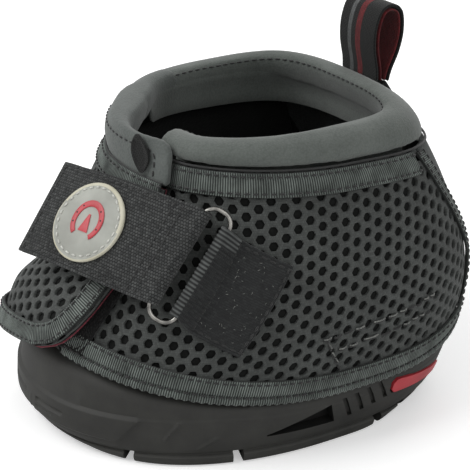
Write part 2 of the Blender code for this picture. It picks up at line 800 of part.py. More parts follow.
def make_tapes():
    """Bindings along the hem, under the collar and down the heel seams."""
    bottom = PANEL_THICKNESS / 6.0

    def hem_low(angle):
        return hem(angle) + bottom

    def hem_high(angle):
        return hem(angle) + TAPE_WIDTH

    def seam_low(angle):
        return seam(angle) - TAPE_WIDTH

    def seam_high(angle):
        return seam(angle) - 2 * GAP

    heel_low = float(heel_seam(HEEL_SEAM_LEVELS[0])) - 5.6
    heel_high = float(heel_seam(SEAM_HEEL)) - 6.2
    count = 24
    tape_between("hem_tape_right", even_angles(12.0, heel_low, HEM_SIDE, count), hem_low, hem_high, dip)
    right = even_angles(COLLAR_START, heel_high, SEAM_HEEL, count)
    tape_between("collar_tape_right", right, seam_low, seam_high, dip)
    root = -FLAP_HINGE + 1.2
    left = -even_angles(root, heel_low, HEM_SIDE, count)[::-1]
    tape_between("hem_tape_left", left, hem_low, hem_high, dip)
    left = -even_angles(root, heel_high, SEAM_HEEL, count)[::-1]
    tape_between("collar_tape_left", left, seam_low, seam_high, dip)
    for side in (1.0, -1.0):
        make_heel_tape(side)


def make_heel_tape(side):
    """The tape that covers a heel seam, from the collar to the sole."""
    hand = "right" if side > 0 else "left"
    levels = np.linspace(HEM_HEEL - SHOULDER_SIDE, SEAM_HEEL - 2 * GAP, 12)
    middle = heel_seam(levels)
    radius = (HALF_WIDTH + HEEL_REACH) / 2.0
    across = np.linspace(-0.5, 0.5, 4) * math.degrees(TAPE_WIDTH / radius)
    angles = middle[None, :] + across[:, None]
    heights = np.repeat(levels[None, :], 4, axis=0)
    if side < 0:
        angles, heights = mirrored(angles, heights)
    out = np.full_like(angles, GAP + TAPE_THICKNESS)
    sheet(f"heel_tape_{hand}", angles, heights, out, TAPE_THICKNESS, tape_cloth())


def rim(angle):
    """Height of the collar's crest."""
    share = (1.0 + np.cos(np.radians(angle))) / 2.0
    return RIM_HEEL + (RIM_TOE - RIM_HEEL) * share


def collar_section(angle, shift, inset=0.0):
    """The collar's outer face at one angle, from the seam up, over and down inside, leaning with the skin."""
    foot = float(seam(angle))
    rise = float(rim(angle)) - foot
    base = skin(angle, foot)
    normal = level_outward(angle, foot)
    out = np.array(SECTION_OUT_SHARES) * COLLAR_BULGE
    up = np.where(np.array(SECTION_UP_SHARES) > 0, rise, COLLAR_DROP) * np.array(SECTION_UP_SHARES)
    lean = np.dot(skin(angle, foot + rise) - base, normal)
    out = out + lean * np.clip(up / rise, 0.0, 1.0)
    flat = np.stack([out, up], 1)
    if inset:
        along = np.gradient(flat, axis=0)
        side = np.stack([along[:, 1], -along[:, 0]], 1)
        side /= np.linalg.norm(side, axis=1, keepdims=True)
        flat = flat - side * inset
    points = base + normal * (flat[:, :1] + shift) + np.array([0.0, 0.0, 1.0]) * flat[:, 1:]
    return points


def make_collar():
    """The padded roll round the top: a stretch cover over foam, open where the flap closes it."""
    angles = even_angles(COLLAR_START, 360.0 + FLAP_HINGE - 4 * EDGE_GAP_ANGLE, SEAM_HEEL, 52)
    shifts = dip(angles, SEAM_TOE)
    shell = [collar_section(a, s) for a, s in zip(angles, shifts)]
    made = add_object("collar_cover", shell, grid_faces(len(angles), len(shell[0])), collar_cloth())
    thicken(made, COLLAR_SKIN)
    core = [collar_section(a, s, COLLAR_SKIN + GAP)[:9] for a, s in zip(angles, shifts)]
    rows = len(core[0])
    faces = grid_faces(len(angles), rows)
    for column in range(len(angles) - 1):
        a, b = column * rows, (column + 1) * rows
        faces.append((a + rows - 1, b + rows - 1, b, a))
    faces.append(tuple(range(rows)))
    faces.append(tuple((len(angles) - 1) * rows + row for row in reversed(range(rows))))
    add_object("collar_foam", core, faces, foam())


def flap_grid(rows, start=FLAP_HINGE, margin=0.0, cell=CELL):
    """The flap's patch, with its free edge rounded off at the foot."""

    def root(share):
        return start

    def edge(share):
        return float(through(FLAP_EDGE_ROWS, FLAP_EDGE_ANGLES, share)) - margin

    def low(angle):
        at = np.clip(angle, FLAP_HEM_ANGLES[0], FLAP_HEM_ANGLES[-1])
        return through(FLAP_HEM_ANGLES, FLAP_HEM_HEIGHTS, at)

    return patch_grid(root, edge, low, flap_seam, rows, cell)


def flap_pivot():
    """The flap's fold: a straight line just outside the boot's left front."""
    foot = FLAP_HEM_HEIGHTS[0]
    low = skin(FLAP_HINGE, foot) + outward(FLAP_HINGE, foot) * (PANEL_THICKNESS - GAP)
    high = skin(FLAP_HINGE, SEAM_TOE) + outward(FLAP_HINGE, SEAM_TOE) * (PANEL_THICKNESS + GAP)
    return low, high


def make_flap():
    """The outer front flap with its lining, bindings, padded top and leaf-shaped patch."""
    pivot, _ = flap_pivot()
    angles, heights = flap_grid(12)
    out = flap_out(angles, heights)
    panel = sheet("outer_front_flap", angles, heights, out, FLAP_THICKNESS, mesh_cloth())
    binding = make_flap_binding(angles, heights)
    angles, heights = flap_grid(12, LINING_START, 2 * EDGE_GAP_ANGLE)
    inner = flap_out(angles, heights) - FLAP_THICKNESS - 1.5 * GAP
    lining = sheet("flap_lining", angles, heights, inner, LINING_THICKNESS, red_cloth())
    made = [panel, lining, binding, make_flap_collar(), make_flap_tape(), make_leaf_patch()]
    for piece in made:
        place(piece, pivot)


def make_flap_binding(angles, heights):
    """The tape round the flap's lower and free edges, on its outer face."""
    width = TAPE_WIDTH * 0.8
    rim_angles = np.concatenate([angles[1:, 0], angles[-1, 1:]])
    rim_heights = np.concatenate([heights[1:, 0], heights[-1, 1:]])
    below = rim_heights < FLAP_SEAM_TIP - TAPE_WIDTH
    rim_angles = rim_angles[below]
    rim_heights = rim_heights[below]
    spots = skin(rim_angles, rim_heights)
    middle = skin(np.mean(angles), np.mean(heights))
    columns = len(rim_angles)
    turn = np.zeros((columns, 3))
    rise = np.zeros((columns, 3))
    for i in range(columns):
        before, after = spots[max(i - 1, 0)], spots[min(i + 1, columns - 1)]
        tangent = (after - before) / np.linalg.norm(after - before)
        inward = np.cross(outward(rim_angles[i], rim_heights[i]), tangent)
        inward *= np.sign(np.dot(inward, middle - spots[i]))
        share = np.array([PANEL_THICKNESS / 8.0, width / 2.0, width])
        target = spots[i] + inward * share[:, None]
        for row, point in enumerate(target):
            turn[i, row], rise[i, row] = nearest_place(point, rim_angles[i], rim_heights[i])
    out = flap_out(turn, rise) + 2 * GAP + TAPE_THICKNESS
    return sheet("flap_binding", turn, rise, out, TAPE_THICKNESS, tape_cloth())


def nearest_place(point, angle, height):
    """Angle and height of the skin's place nearest a point, found by a few Newton steps."""
    for _ in range(6):
        here = skin(angle, height)
        along = (skin(angle + PROBE_TURN, height) - here) / PROBE_TURN
        up = (skin(angle, height + PROBE) - here) / PROBE
        step = np.linalg.lstsq(np.stack([along, up], 1), point - here, rcond=None)[0]
        angle, height = angle + step[0], height + step[1]
    return angle, height


def make_flap_collar():
    """The collar's end on the flap: thick at its root and a flat stitched tongue at its tip."""
    angles = even_angles(FLAP_HINGE, FLAP_COLLAR_END, SEAM_TOE, 15)
    outer_up = np.array([0.02, 0.30, 0.58, 0.84, 0.98])
    taper_start, taper_stop = FLAP_COLLAR_TAPER
    rings = []
    for angle in angles:
        ease = float(smooth_step((angle - taper_start) / (taper_stop - taper_start)))
        deep = FLAP_COLLAR_ROOT + (FLAP_COLLAR_TIP - FLAP_COLLAR_ROOT) * ease
        bulge = COLLAR_BULGE * (1.0 - ease)
        foot = float(flap_seam(angle))
        rise = float(rim(angle)) - FLAP_COLLAR_FALL * ease - foot
        face = float(flap_out(angle, foot))
        base = skin(angle, foot)
        normal = level_outward(angle, foot)
        tilted = outward(angle, foot)
        lean = float(np.dot(skin(angle, foot + rise) - base, normal))
        section = [(face, 0.0, tilted)]
        section += [(face + bulge * math.sin(math.pi * u), u, normal) for u in outer_up]
        section += [(face - deep * 0.5, 1.0, normal), (face - deep, 0.88, normal)]
        section += [(face - deep, 0.42, normal), (face - deep, 0.0, tilted)]
        for out, up, way in section:
            rings.append(base + way * (out + lean * up) + np.array([0.0, 0.0, rise * up + GAP]))
    rows = len(rings) // len(angles)
    faces = []
    for column in range(len(angles) - 1):
        for row in range(rows):
            above = (row + 1) % rows
            a, b = column * rows, (column + 1) * rows
            faces.append((a + row, b + row, b + above, a + above))
    faces.append(tuple(reversed(range(rows))))
    faces.append(tuple((len(angles) - 1) * rows + row for row in range(rows)))
    made = add_object("flap_collar", rings, faces, collar_cloth())
    fix_normals(made)
    return made


def fix_normals(made):
    """Point a closed mesh's faces outwards."""
    work = bmesh.new()
    work.from_mesh(made.data)
    bmesh.ops.recalc_face_normals(work, faces=work.faces)
    work.to_mesh(made.data)
    work.free()


def make_flap_tape():
    """The tape over the seam between the flap and its collar end."""
    angles = even_angles(FLAP_HINGE + 0.5, FLAP_EDGE_ANGLES[-1] - 0.5, SEAM_TOE, 14)
    rows = np.linspace(0.0, 1.0, 3)
    grid = np.repeat(angles[:, None], 3, axis=1)
    share = (grid - FLAP_HINGE) / (FLAP_COLLAR_END - FLAP_HINGE)
    width = FLAP_TAPE_ROOT + (FLAP_TAPE_TIP - FLAP_TAPE_ROOT) * share
    heights = flap_seam(grid) - width + (width - GAP) * rows[None, :]
    out = flap_out(grid, heights) + GAP + FLAP_TAPE_THICKNESS
    return sheet("flap_collar_tape", grid, heights, out, FLAP_TAPE_THICKNESS, tape_cloth())


def make_leaf_patch():
    """The small leaf-shaped patch on the flap's padded end."""
    start, stop = LEAF_WIDTH_ANGLES
    low, high = LEAF_HEIGHTS
    share = np.linspace(0.0, 1.0, 7)
    half = np.sin(math.pi * (0.08 + 0.84 * share)) ** 0.8
    rows = np.array([-1.0, 0.0, 1.0])
    middle = (start + stop) / 2.0
    angles = middle + (stop - start) / 2.0 * rows[:, None] * half[None, :]
    heights = np.repeat((low + (high - low) * share)[None, :], 3, axis=0)
    foot = flap_seam(angles)
    face = flap_out(angles, foot)
    base = skin(angles, foot) * np.array([1.0, 1.0, 0.0])
    normal = level_outward(angles, foot)
    lean = np.sum((skin(angles, heights) - skin(angles, foot)) * normal, -1)
    points = base + normal * (face + lean + COLLAR_BULGE * LEAF_LIFT + GAP + LEAF_THICKNESS)[..., None]
    points[..., 2] = heights
    made = add_object("flap_leaf_patch", points, grid_faces(*angles.shape), strap_cloth())
    return thicken(made, LEAF_THICKNESS)


def make_pile_pad():
    """The pile pad on the inner panel, where the flap takes hold."""

    def start(share):
        return PILE_ANGLES[0]

    def stop(share):
        return PILE_ANGLES[1]

    def low(angle):
        return PILE_HEIGHTS[0] + 0.0 * np.asarray(angle)

    def high(angle):
        return PILE_HEIGHTS[1] + 0.0 * np.asarray(angle)

    angles, heights = patch_grid(start, stop, low, high, 7)
    out = dip(angles, heights) + GAP + PILE_THICKNESS
    sheet("pile_pad", angles, heights, out, PILE_THICKNESS, black_cloth())


def unit(shares):
    """A direction of unit length."""
    direction = np.asarray(shares, float)
    return direction / np.linalg.norm(direction)


def spot_over(angle, height, out):
    """A point at a distance out from the skin."""
    return skin(angle, height) + outward(angle, height) * out


def bar_frame():
    """The link's axes: along its bars, across from strap bar to band bar, and outwards."""
    along = unit(BAR_DIRECTION_SHARES)
    band = spot_over(BAND_BAR_ANGLE, BAND_BAR_HEIGHT, BAND_BAR_OUT)
    across = band - spot_over(STRAP_BAR_ANGLE, STRAP_BAR_HEIGHT, STRAP_BAR_OUT)
    across = unit(across - along * np.dot(across, along))
    return along, across, np.cross(along, across)


def bar_places():
    """Middles of the two bars: the band's as written, the strap's a link's width from it."""
    band = spot_over(BAND_BAR_ANGLE, BAND_BAR_HEIGHT, BAND_BAR_OUT)
    _, across, _ = bar_frame()
    return band - across * LINK_WIDTH, band


def make_link():
    """The bent wire link between band and strap, turning on the bar in the band."""
    along, across, out = bar_frame()
    _, band = bar_places()
    bpy.ops.object.select_all(action="DESELECT")
    line = bpy.data.curves.new("strap_link", "CURVE")
    line.dimensions = "3D"
    line.bevel_depth = WIRE_RADIUS
    line.bevel_resolution = 2
    spline = line.splines.new("POLY")
    corner_steps = 4
    points = []
    half = LINK_STRAIGHT / 2.0 + LINK_CORNER
    for number, (sign_along, sign_across) in enumerate(((1, 0), (1, 1), (-1, 1), (-1, 0))):
        middle_along = sign_along * (half - LINK_CORNER)
        middle_across = -LINK_CORNER if sign_across == 0 else LINK_CORNER - LINK_WIDTH
        for step in range(corner_steps + 1):
            turn = math.radians(90.0) * (number + step / corner_steps)
            corner_across = middle_across + LINK_CORNER * math.cos(turn)
            points.append((corner_across, middle_along + LINK_CORNER * math.sin(turn)))
    spline.points.add(len(points) - 1)
    for point, (a, b) in zip(spline.points, points):
        point.co = (a, b, 0.0, 1.0)
    spline.use_cyclic_u = True
    line.materials.append(steel())
    made = bpy.data.objects.new("strap_link", line)
    bpy.data.collections[PARTS].objects.link(made)
    axes = Matrix((across, along, np.cross(across, along))).transposed()
    made.matrix_world = Matrix.Translation(Vector(band)) @ axes.to_4x4()
    return made


def strap_aim():
    """The strap's direction from its bar to its free end."""
    bar, _ = bar_places()
    return unit(spot_over(STRAP_TIP_ANGLE, STRAP_TIP_HEIGHT, STRAP_TIP_OUT) - bar)


def strap_station(place_along):
    """The strap's middle, aim, width direction and outward direction at a distance from its bar."""
    along, across, out = bar_frame()
    bar, _ = bar_places()
    aim = strap_aim()
    tail = max(0.0, place_along - STRAP_REACH)
    share = float(smooth_step(place_along / STRAP_REACH))
    wide = unit((1.0 - share) * along + share * unit(STRAP_TWIST_SHARES))
    normal = unit(np.cross(aim, wide))
    lean = math.radians(STRAP_TAIL_BEND) * tail / STRAP_END
    middle = bar + aim * min(place_along, STRAP_REACH)
    middle = middle + tail * (aim * math.cos(lean / 2.0) - normal * math.sin(lean / 2.0))
    aim = aim * math.cos(lean) - normal * math.sin(lean)
    normal = unit(np.cross(aim, wide))
    return middle, aim, wide, normal


def strap_point(place_along, across, height):
    """A point on the strap: along it, across it, and out from the bar's middle plane."""
    middle, aim, wide, normal = strap_station(place_along)
    skew = math.sqrt(1.0 - float(np.dot(wide, aim)) ** 2)
    span = min(place_along / STRAP_REACH, 1.0)
    bow = STRAP_BOW * math.sin(math.pi * span) * (0.5 - across / STRAP_WIDTH)
    bow -= STRAP_SINK * float(smooth_step(place_along / STRAP_SINK_REACH))
    return middle + wide * across / skew + normal * (height + bow)


def fold_path(radius, plies, back):
    """A ply that comes in along the top, goes round a bar and returns underneath: places and heights."""
    path = []
    steps = 8
    for step in range(steps + 1):
        turn = math.radians(90.0 + 180.0 * step / steps)
        path.append((radius * math.cos(turn), radius * math.sin(turn)))
    close = radius - plies
    path.append((back * 0.35, -radius * 0.55))
    path.append((back * 0.65, close - radius * 0.45))
    path.append((back, close))
    return path


def make_strap():
    """The webbing strap, folded round the link's bar, with its hook pad and round patch."""
    bar, _ = bar_places()
    radius = WIRE_RADIUS + BAR_CLEARANCE + STRAP_THICKNESS / 2.0
    plies = STRAP_THICKNESS + STRAP_PLY_GAP
    total = STRAP_REACH + STRAP_END
    lead = [(place_along, radius) for place_along in np.linspace(total, STRAP_THICKNESS * 2, 11)]
    path = lead + fold_path(radius, plies, STRAP_RETURN)
    rows = 5
    shares = np.linspace(0.5, -0.5, rows) * STRAP_WIDTH - STRAP_SHIFT
    points = []
    for place_along, height in path:
        for across in shares:
            if place_along > 0:
                points.append(strap_point(place_along, across, height))
            else:
                _, _, wide, normal = strap_station(0.0)
                aim = strap_aim()
                points.append(bar + aim * place_along + wide * across + normal * height)
    made = add_object("front_strap", points, grid_faces(len(path), rows), strap_cloth())
    thicken(made, STRAP_THICKNESS, 0.0)
    pad = make_hook_pad(radius)
    badge = make_badge(radius)
    for piece in (made, pad, badge):
        place(piece, bar)


def make_hook_pad(radius):
    """The hook pad sewn under the strap's free end."""
    height = radius - STRAP_THICKNESS / 2.0 - GAP
    points = []
    places = np.linspace(HOOK_PAD_PLACES[0], HOOK_PAD_PLACES[1], 6)
    rows = np.linspace(0.5, -0.5, 3) * HOOK_PAD_WIDTH - STRAP_SHIFT
    for place_along in places[::-1]:
        for across in rows:
            points.append(strap_point(place_along, across, height))
    made = add_object("strap_hook_pad", points, grid_faces(6, 3), black_cloth())
    return thicken(made, HOOK_PAD_THICKNESS)


def make_badge(radius):
    """The round moulded patch sewn on the strap."""
    height = radius + STRAP_THICKNESS / 2.0 + GAP + BADGE_THICKNESS
    around = 28
    rings = (BADGE_RADIUS, BADGE_RADIUS * 0.55)
    points = []
    for ring in rings:
        for step in range(around):
            turn = 2.0 * math.pi * step / around
            points.append(strap_point(BADGE_PLACE + ring * math.cos(turn), ring * math.sin(turn), height))
    points.append(strap_point(BADGE_PLACE, 0.0, height))
    faces = []
    for step in range(around):
        beside = (step + 1) % around
        faces.append((step, beside, beside + around, step + around))
        faces.append((step + around, beside + around, 2 * around))
    made = add_object("round_patch", points, faces, badge_plastic())
    return thicken(made, BADGE_THICKNESS)


def band_place(share, across, out):
    """A point on the anchor band's tongue, at a share from the link to its cut end."""
    near_top, near_low = BAND_NEAR
    far_top, far_low = BAND_FAR
    down = 0.5 - across / BAND_WIDTH
    top = np.array(near_top) + (np.array(far_top) - np.array(near_top)) * share
    low = np.array(near_low) + (np.array(far_low) - np.array(near_low)) * share
    angle, height = top + (low - top) * down
    return spot_over(angle, height, out)


def make_anchor_band():
    """The band that holds the link: two plies sewn to the side panel and folded round the bar."""
    along, across, out = bar_frame()
    _, bar = bar_places()
    radius = WIRE_RADIUS + BAR_CLEARANCE + BAND_THICKNESS / 2.0
    low = GAP + BAND_THICKNESS / 2.0
    high = low + BAND_THICKNESS + STRAP_PLY_GAP
    rows = np.linspace(0.5, -0.5, 6) * BAND_WIDTH
    shares = (1.0, 0.75, 0.5, 0.25, 0.05)
    points = []
    for share in shares:
        for spot in rows:
            points.append(band_place(share, spot, low))
    for step in range(9):
        turn = math.radians(-90.0 - 180.0 * step / 8.0)
        for spot in rows:
            middle = bar - along * spot
            points.append(middle + across * radius * math.cos(turn) + out * radius * math.sin(turn))
    for share in reversed(shares):
        for spot in rows:
            points.append(band_place(share, spot, high))
    made = add_object("anchor_band", points, grid_faces(len(points) // 6, 6), black_cloth())
    return thicken(made, BAND_THICKNESS, 0.0)


def loop_outline(inset):
    """The pull loop's side view from foot to foot, a distance inside its outer face."""
    back = np.array(LOOP_BACK_SHARES) * LOOP_DEPTH
    up = np.array(LOOP_UP_SHARES) * LOOP_HEIGHT
    fine = np.linspace(0.0, len(back) - 1.0, LOOP_STEPS)
    knots = np.arange(len(back), dtype=float)
    path = np.stack([through(knots, back, fine), through(knots, up, fine)], 1)
    along = np.gradient(path, axis=0)
    side = np.stack([along[:, 1], -along[:, 0]], 1)
    side /= np.linalg.norm(side, axis=1, keepdims=True)
    return path + side * inset


def loop_base():
    """Where the pull loop is sewn on, behind the collar."""
    section = collar_section(180.0, 0.0)
    top = section[LOOP_SECTION_ROW]
    foot = section[LOOP_SECTION_ROW - 2]
    lean = (top - foot) / np.linalg.norm(top - foot)
    out = np.array([0.0, lean[2], -lean[1]])
    return top + out * (COLLAR_BULGE / 2.0 + GAP + TAB_THICKNESS / 2.0) - lean * LOOP_DROP, lean


def make_pull_loop():
    """The pull loop at the heel: an outer ribbon, its lining, and the tab that sews them on."""
    base, along = loop_base()
    lean = math.radians(LOOP_LEAN)
    for name, inset, thickness, look in (
        ("pull_loop", 0.0, LOOP_THICKNESS, black_cloth()),
        ("pull_loop_lining", LOOP_THICKNESS + GAP, LOOP_LINING, red_cloth()),
    ):
        points = []
        for back, up in loop_outline(inset):
            y = back * math.cos(lean) + up * math.sin(lean)
            z = up * math.cos(lean) - back * math.sin(lean)
            for side in (-0.5, 0.5):
                points.append(base + np.array([side * LOOP_WIDTH, y - LOOP_FORWARD, z + 2 * GAP]))
        made = add_object(name, points, grid_faces(len(points) // 2, 2), look)
        thicken(made, thickness)
        place(made, base)
    make_loop_tab(base, along)


def make_loop_tab(base, along):
    """The sewn foot of the pull loop, flat on the collar's back."""
    size = (LOOP_WIDTH, TAB_THICKNESS, TAB_DROP)
    middle = base - along * TAB_DROP / 2.0
    tilt = math.atan2(-along[1], along[2])
    bpy.ops.mesh.primitive_cube_add(size=1.0, location=middle, rotation=(tilt, 0.0, 0.0))
    made = bpy.context.active_object
    made.name = "pull_loop_tab"
    made.data.name = "pull_loop_tab"
    made.data.transform(Matrix.Diagonal((*size, 1.0)))
    made.data.materials.append(black_cloth())
    for group in list(made.users_collection):
        group.objects.unlink(made)
    bpy.data.collections[PARTS].objects.link(made)
    return made


def main():
    clear_scene()
    make_sole()
    make_side_panels()
    make_rear()
    make_liners()
    make_tapes()
    make_collar()
    make_pile_pad()
    make_flap()
    make_link()
    make_strap()
    make_anchor_band()
    make_pull_loop()


main()
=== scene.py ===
"""The looks of a hoof boot: a moulded rubber sole, a punched cloth upper with ribbed bindings and a
padded stretch-cloth collar, an overlapping front flap, and a woven strap on a wire link.

Metres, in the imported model's frame. Places on the upper are an angle round the boot (0 at the toe,
90 at the right side, 180 at the heel), a height, and a distance out from the upper's outer skin."""

import math

import bmesh
import bpy
import numpy as np
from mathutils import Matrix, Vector
from mathutils.bvhtree import BVHTree


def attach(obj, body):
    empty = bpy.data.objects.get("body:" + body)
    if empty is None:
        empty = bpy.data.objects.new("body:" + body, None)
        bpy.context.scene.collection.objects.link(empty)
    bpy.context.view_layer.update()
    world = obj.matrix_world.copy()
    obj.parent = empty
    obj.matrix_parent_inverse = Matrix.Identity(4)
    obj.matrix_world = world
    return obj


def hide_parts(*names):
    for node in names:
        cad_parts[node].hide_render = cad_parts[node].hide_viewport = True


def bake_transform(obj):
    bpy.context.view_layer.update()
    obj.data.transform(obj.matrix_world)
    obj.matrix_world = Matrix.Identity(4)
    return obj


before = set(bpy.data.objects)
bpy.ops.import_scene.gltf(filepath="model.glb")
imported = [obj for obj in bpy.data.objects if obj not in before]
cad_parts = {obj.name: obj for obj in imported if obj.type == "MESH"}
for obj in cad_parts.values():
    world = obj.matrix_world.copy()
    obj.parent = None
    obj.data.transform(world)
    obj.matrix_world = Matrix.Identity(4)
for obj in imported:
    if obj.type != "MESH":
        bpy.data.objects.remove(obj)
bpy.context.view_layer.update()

# The upper's outer skin, as in the part's source.
TOE_REACH = 0.0835
HEEL_REACH = 0.1020
HALF_WIDTH = 0.0750
COLLAR_HEIGHT = 0.1255
LEVEL_SHARES = (0.0, 0.092, 0.247, 0.464, 0.696, 0.897, 1.0)
TOE_SHARES = (1.0, 0.993, 0.962, 0.807, 0.588, 0.461, 0.444)
HEEL_SHARES = (0.851, 0.902, 0.970, 1.0, 0.907, 0.780, 0.694)
WIDTH_SHARES = (0.955, 0.977, 1.0, 0.981, 0.876, 0.776, 0.723)
MIDDLE_SHARES = (0.42, 0.58)
MIDDLE_SHIFT = 0.0039
FRONT_ROUND = 2.1
REAR_ROUND = (3.2, 2.8)
REAR_TAPER = (0.10, -0.14)
TAPER_POWER = 1.6

# Layers, hem and seams.
GAP = 0.0004
PANEL_THICKNESS = 0.0030
LINER_THICKNESS = 0.0012
TAPE_THICKNESS = 0.0011
TAPE_WIDTH = 0.0100
HEM_TOE = 0.0385
HEM_SIDE = 0.0232
HEM_HEEL = 0.0375
SEAM_TOE = 0.1135
SEAM_HEEL = 0.1090
RIM_TOE = 0.1224
RIM_HEEL = 0.1262

# The front flap and what lies under it.
DIP = 0.0030
DIP_START = 35.0
DIP_SPREAD = 14.0
DIP_LEVELS = (0.046, 0.070)
FLAP_HINGE = -40.0
FLAP_RAMP_LOW = 19.0
FLAP_RAMP_HIGH = 40.0
FLAP_RAMP_LATER = 6.0
FLAP_ROOT_OUT = 0.0002
FLAP_OUT_LOW = 0.0090
FLAP_OUT_HIGH = 0.0036
FLAP_OUT_LEVELS = (0.045, 0.074)
FLAP_TUCK = 0.0030
FLAP_TUCK_LEVELS = (0.093, 0.114)
FLAP_TUCK_START = -70.0
FLAP_THICKNESS = 0.0027
FLAP_EDGE_ROWS = (0.0, 0.05, 0.12, 0.24, 0.40, 0.65, 0.85, 1.0)
FLAP_EDGE_ANGLES = (7.0, 12.5, 16.0, 18.8, 20.6, 23.0, 25.8, 26.5)
FLAP_HEM_ANGLES = (-40.0, -24.5, -3.0, 7.0)
FLAP_HEM_HEIGHTS = (0.0330, 0.0315, 0.0360, 0.0385)
FLAP_SEAM_ROOT = 0.1095
FLAP_SEAM_TIP = 0.1025
FLAP_COLLAR_END = 26.0
UNDERLAP_ROWS = (0.0, 0.08, 0.25, 0.7, 0.86, 1.0)
UNDERLAP_ANGLES = (10.0, 4.0, -1.0, 0.0, 10.0, 12.5)
COLLAR_START = 18.0
HEEL_SEAM_LEVELS = (0.030, 0.045, 0.062, 0.080, 0.093, 0.109)
HEEL_SEAM_ANGLES = (143.0, 144.0, 141.0, 134.0, 128.0, 122.0)
COLLAR_BULGE = 0.0024
COLLAR_DROP = 0.0110
SECTION_OUT_SHARES = (0.0, 0.75, 1.0, 0.45, -0.95, -2.4, -3.75, -4.55, -4.75, -4.55, -4.2)
SECTION_UP_SHARES = (0.03, 0.26, 0.52, 0.80, 0.97, 1.0, 0.90, 0.62, 0.25, -0.28, -0.80)

# The link, the strap, the band and the pull loop.
WIRE_RADIUS = 0.0011
BAR_CLEARANCE = 0.0005
LINK_WIDTH = 0.0113
LINK_STRAIGHT = 0.0410
LINK_CORNER = 0.0030
BAND_BAR = (45.83, 0.0756, 0.0057)
STRAP_BAR = (37.96, 0.0798, 0.0084)
BAR_DIRECTION_SHARES = (0.0, -0.603, -0.798)
STRAP_WIDTH = 0.0400
STRAP_THICKNESS = 0.0015
STRAP_REACH = 0.0570
STRAP_END = 0.0100
STRAP_TIP = (-2.83, 0.0801, 0.0129)
STRAP_TWIST_SHARES = (0.240, -0.655, -0.717)
STRAP_TAIL_BEND = 14.0
STRAP_SHIFT = 0.0004
STRAP_BOW = 0.0034
STRAP_SINK = 0.0005
STRAP_SINK_REACH = 0.0150
BADGE_RADIUS = 0.0162
BADGE_PLACE = 0.0405
BAND_WIDTH = 0.0380
BAND_THICKNESS = 0.0012
BAND_NEAR = ((53.5, 0.0885), (46.0, 0.0560))
BAND_FAR = ((69.5, 0.0775), (60.5, 0.0462))
LOOP_WIDTH = 0.0250
LOOP_HEIGHT = 0.0312
LOOP_DEPTH = 0.0125
LOOP_FORWARD = 0.0012
LOOP_DROP = 0.0016
LOOP_BACK_SHARES = (-0.17, -0.24, -0.44, -0.50, -0.36, 0.0, 0.36, 0.50, 0.44, 0.24, 0.17)
LOOP_UP_SHARES = (0.0, 0.16, 0.42, 0.68, 0.92, 1.0, 0.92, 0.68, 0.42, 0.16, 0.0)
LOOP_LEAN = 7.0
TAB_DROP = 0.0125
TAB_THICKNESS = 0.0016

# Surface detail, from the sizes of real cloth, tape and thread.
PUNCH_PITCH = 0.0057
PUNCH_RADIUS = 0.00195
PUNCH_FLAT = 0.90
PUNCH_DEPTH = 0.0013
RIB_PITCH = 0.00095
RIB_RISE = 0.00022
STITCH_PITCH = 0.0033
STITCH_LENGTH = 0.0025
STITCH_RADIUS = 0.00046
PUCKER = 0.00022
SCALLOP = 0.00028
FOOT_RISE = 0.0020
FLAP_TAPE = 0.0005

FLAP_RIM_LENGTH = 0.165
SOLE_LEVEL = 0.0196
SOLE_RADIUS = 0.080
SHARP = math.radians(48.0)
LEVEL = np.array([1.0, 1.0, 0.0])
WHITE = (1.0, 1.0, 1.0, 1.0)

# Near the flap's hinge line: where the collar's roll ends and the flap's roll begins.
ROLL_JOIN = -70.0


def smooth_step(value):
    """A share that eases from 0 to 1."""
    share = np.clip(value, 0.0, 1.0)
    return share * share * (3.0 - 2.0 * share)


def through(levels, values, at):
    """A smooth curve through a table."""
    levels = np.asarray(levels, float)
    values = np.asarray(values, float)
    slopes = np.gradient(values, levels)
    cell = np.clip(np.searchsorted(levels, at) - 1, 0, len(levels) - 2)
    span = levels[cell + 1] - levels[cell]
    t = np.clip((at - levels[cell]) / span, 0.0, 1.0)
    start = (2 * t**3 - 3 * t**2 + 1) * values[cell] + (t**3 - 2 * t**2 + t) * span * slopes[cell]
    stop = (3 * t**2 - 2 * t**3) * values[cell + 1] + (t**3 - t**2) * span * slopes[cell + 1]
    return start + stop


def skin(angle, height):
    """Points on the upper's outer skin."""
    angle, height = np.broadcast_arrays(np.asarray(angle, float), np.asarray(height, float))
    level = np.clip(height / COLLAR_HEIGHT, 0.0, 1.0)
    toe = -TOE_REACH * through(LEVEL_SHARES, TOE_SHARES, level)
    heel = HEEL_REACH * through(LEVEL_SHARES, HEEL_SHARES, level)
    half = HALF_WIDTH * through(LEVEL_SHARES, WIDTH_SHARES, level)
    middle = MIDDLE_SHARES[0] * toe + MIDDLE_SHARES[1] * heel - MIDDLE_SHIFT
    turn = np.radians(angle)
    ahead, aside = np.cos(turn), np.sin(turn)
    front = ahead > 0
    power = 2.0 / np.where(front, FRONT_ROUND, REAR_ROUND[0] + (REAR_ROUND[1] - REAR_ROUND[0]) * level)
    taper = REAR_TAPER[0] + (REAR_TAPER[1] - REAR_TAPER[0]) * level
    narrow = np.where(front, 1.0, 1.0 - taper * np.abs(ahead) ** TAPER_POWER)
    x = half * np.sign(aside) * np.abs(aside) ** power * narrow
    reach = np.where(front, toe - middle, heel - middle)
    y = middle + reach * np.abs(ahead) ** power
    return np.stack([x, y, height], -1)


def outward(angle, height):
    """The skin's normals."""
    along = skin(angle + 0.05, height) - skin(angle - 0.05, height)
    up = skin(angle, height + 0.0005) - skin(angle, height - 0.0005)
    normal = np.cross(along, up)
    return normal / np.linalg.norm(normal, axis=-1, keepdims=True)


def level_outward(angle, height):
    """The skin's normals laid level."""
    normal = outward(angle, height) * LEVEL
    return normal / np.linalg.norm(normal, axis=-1, keepdims=True)


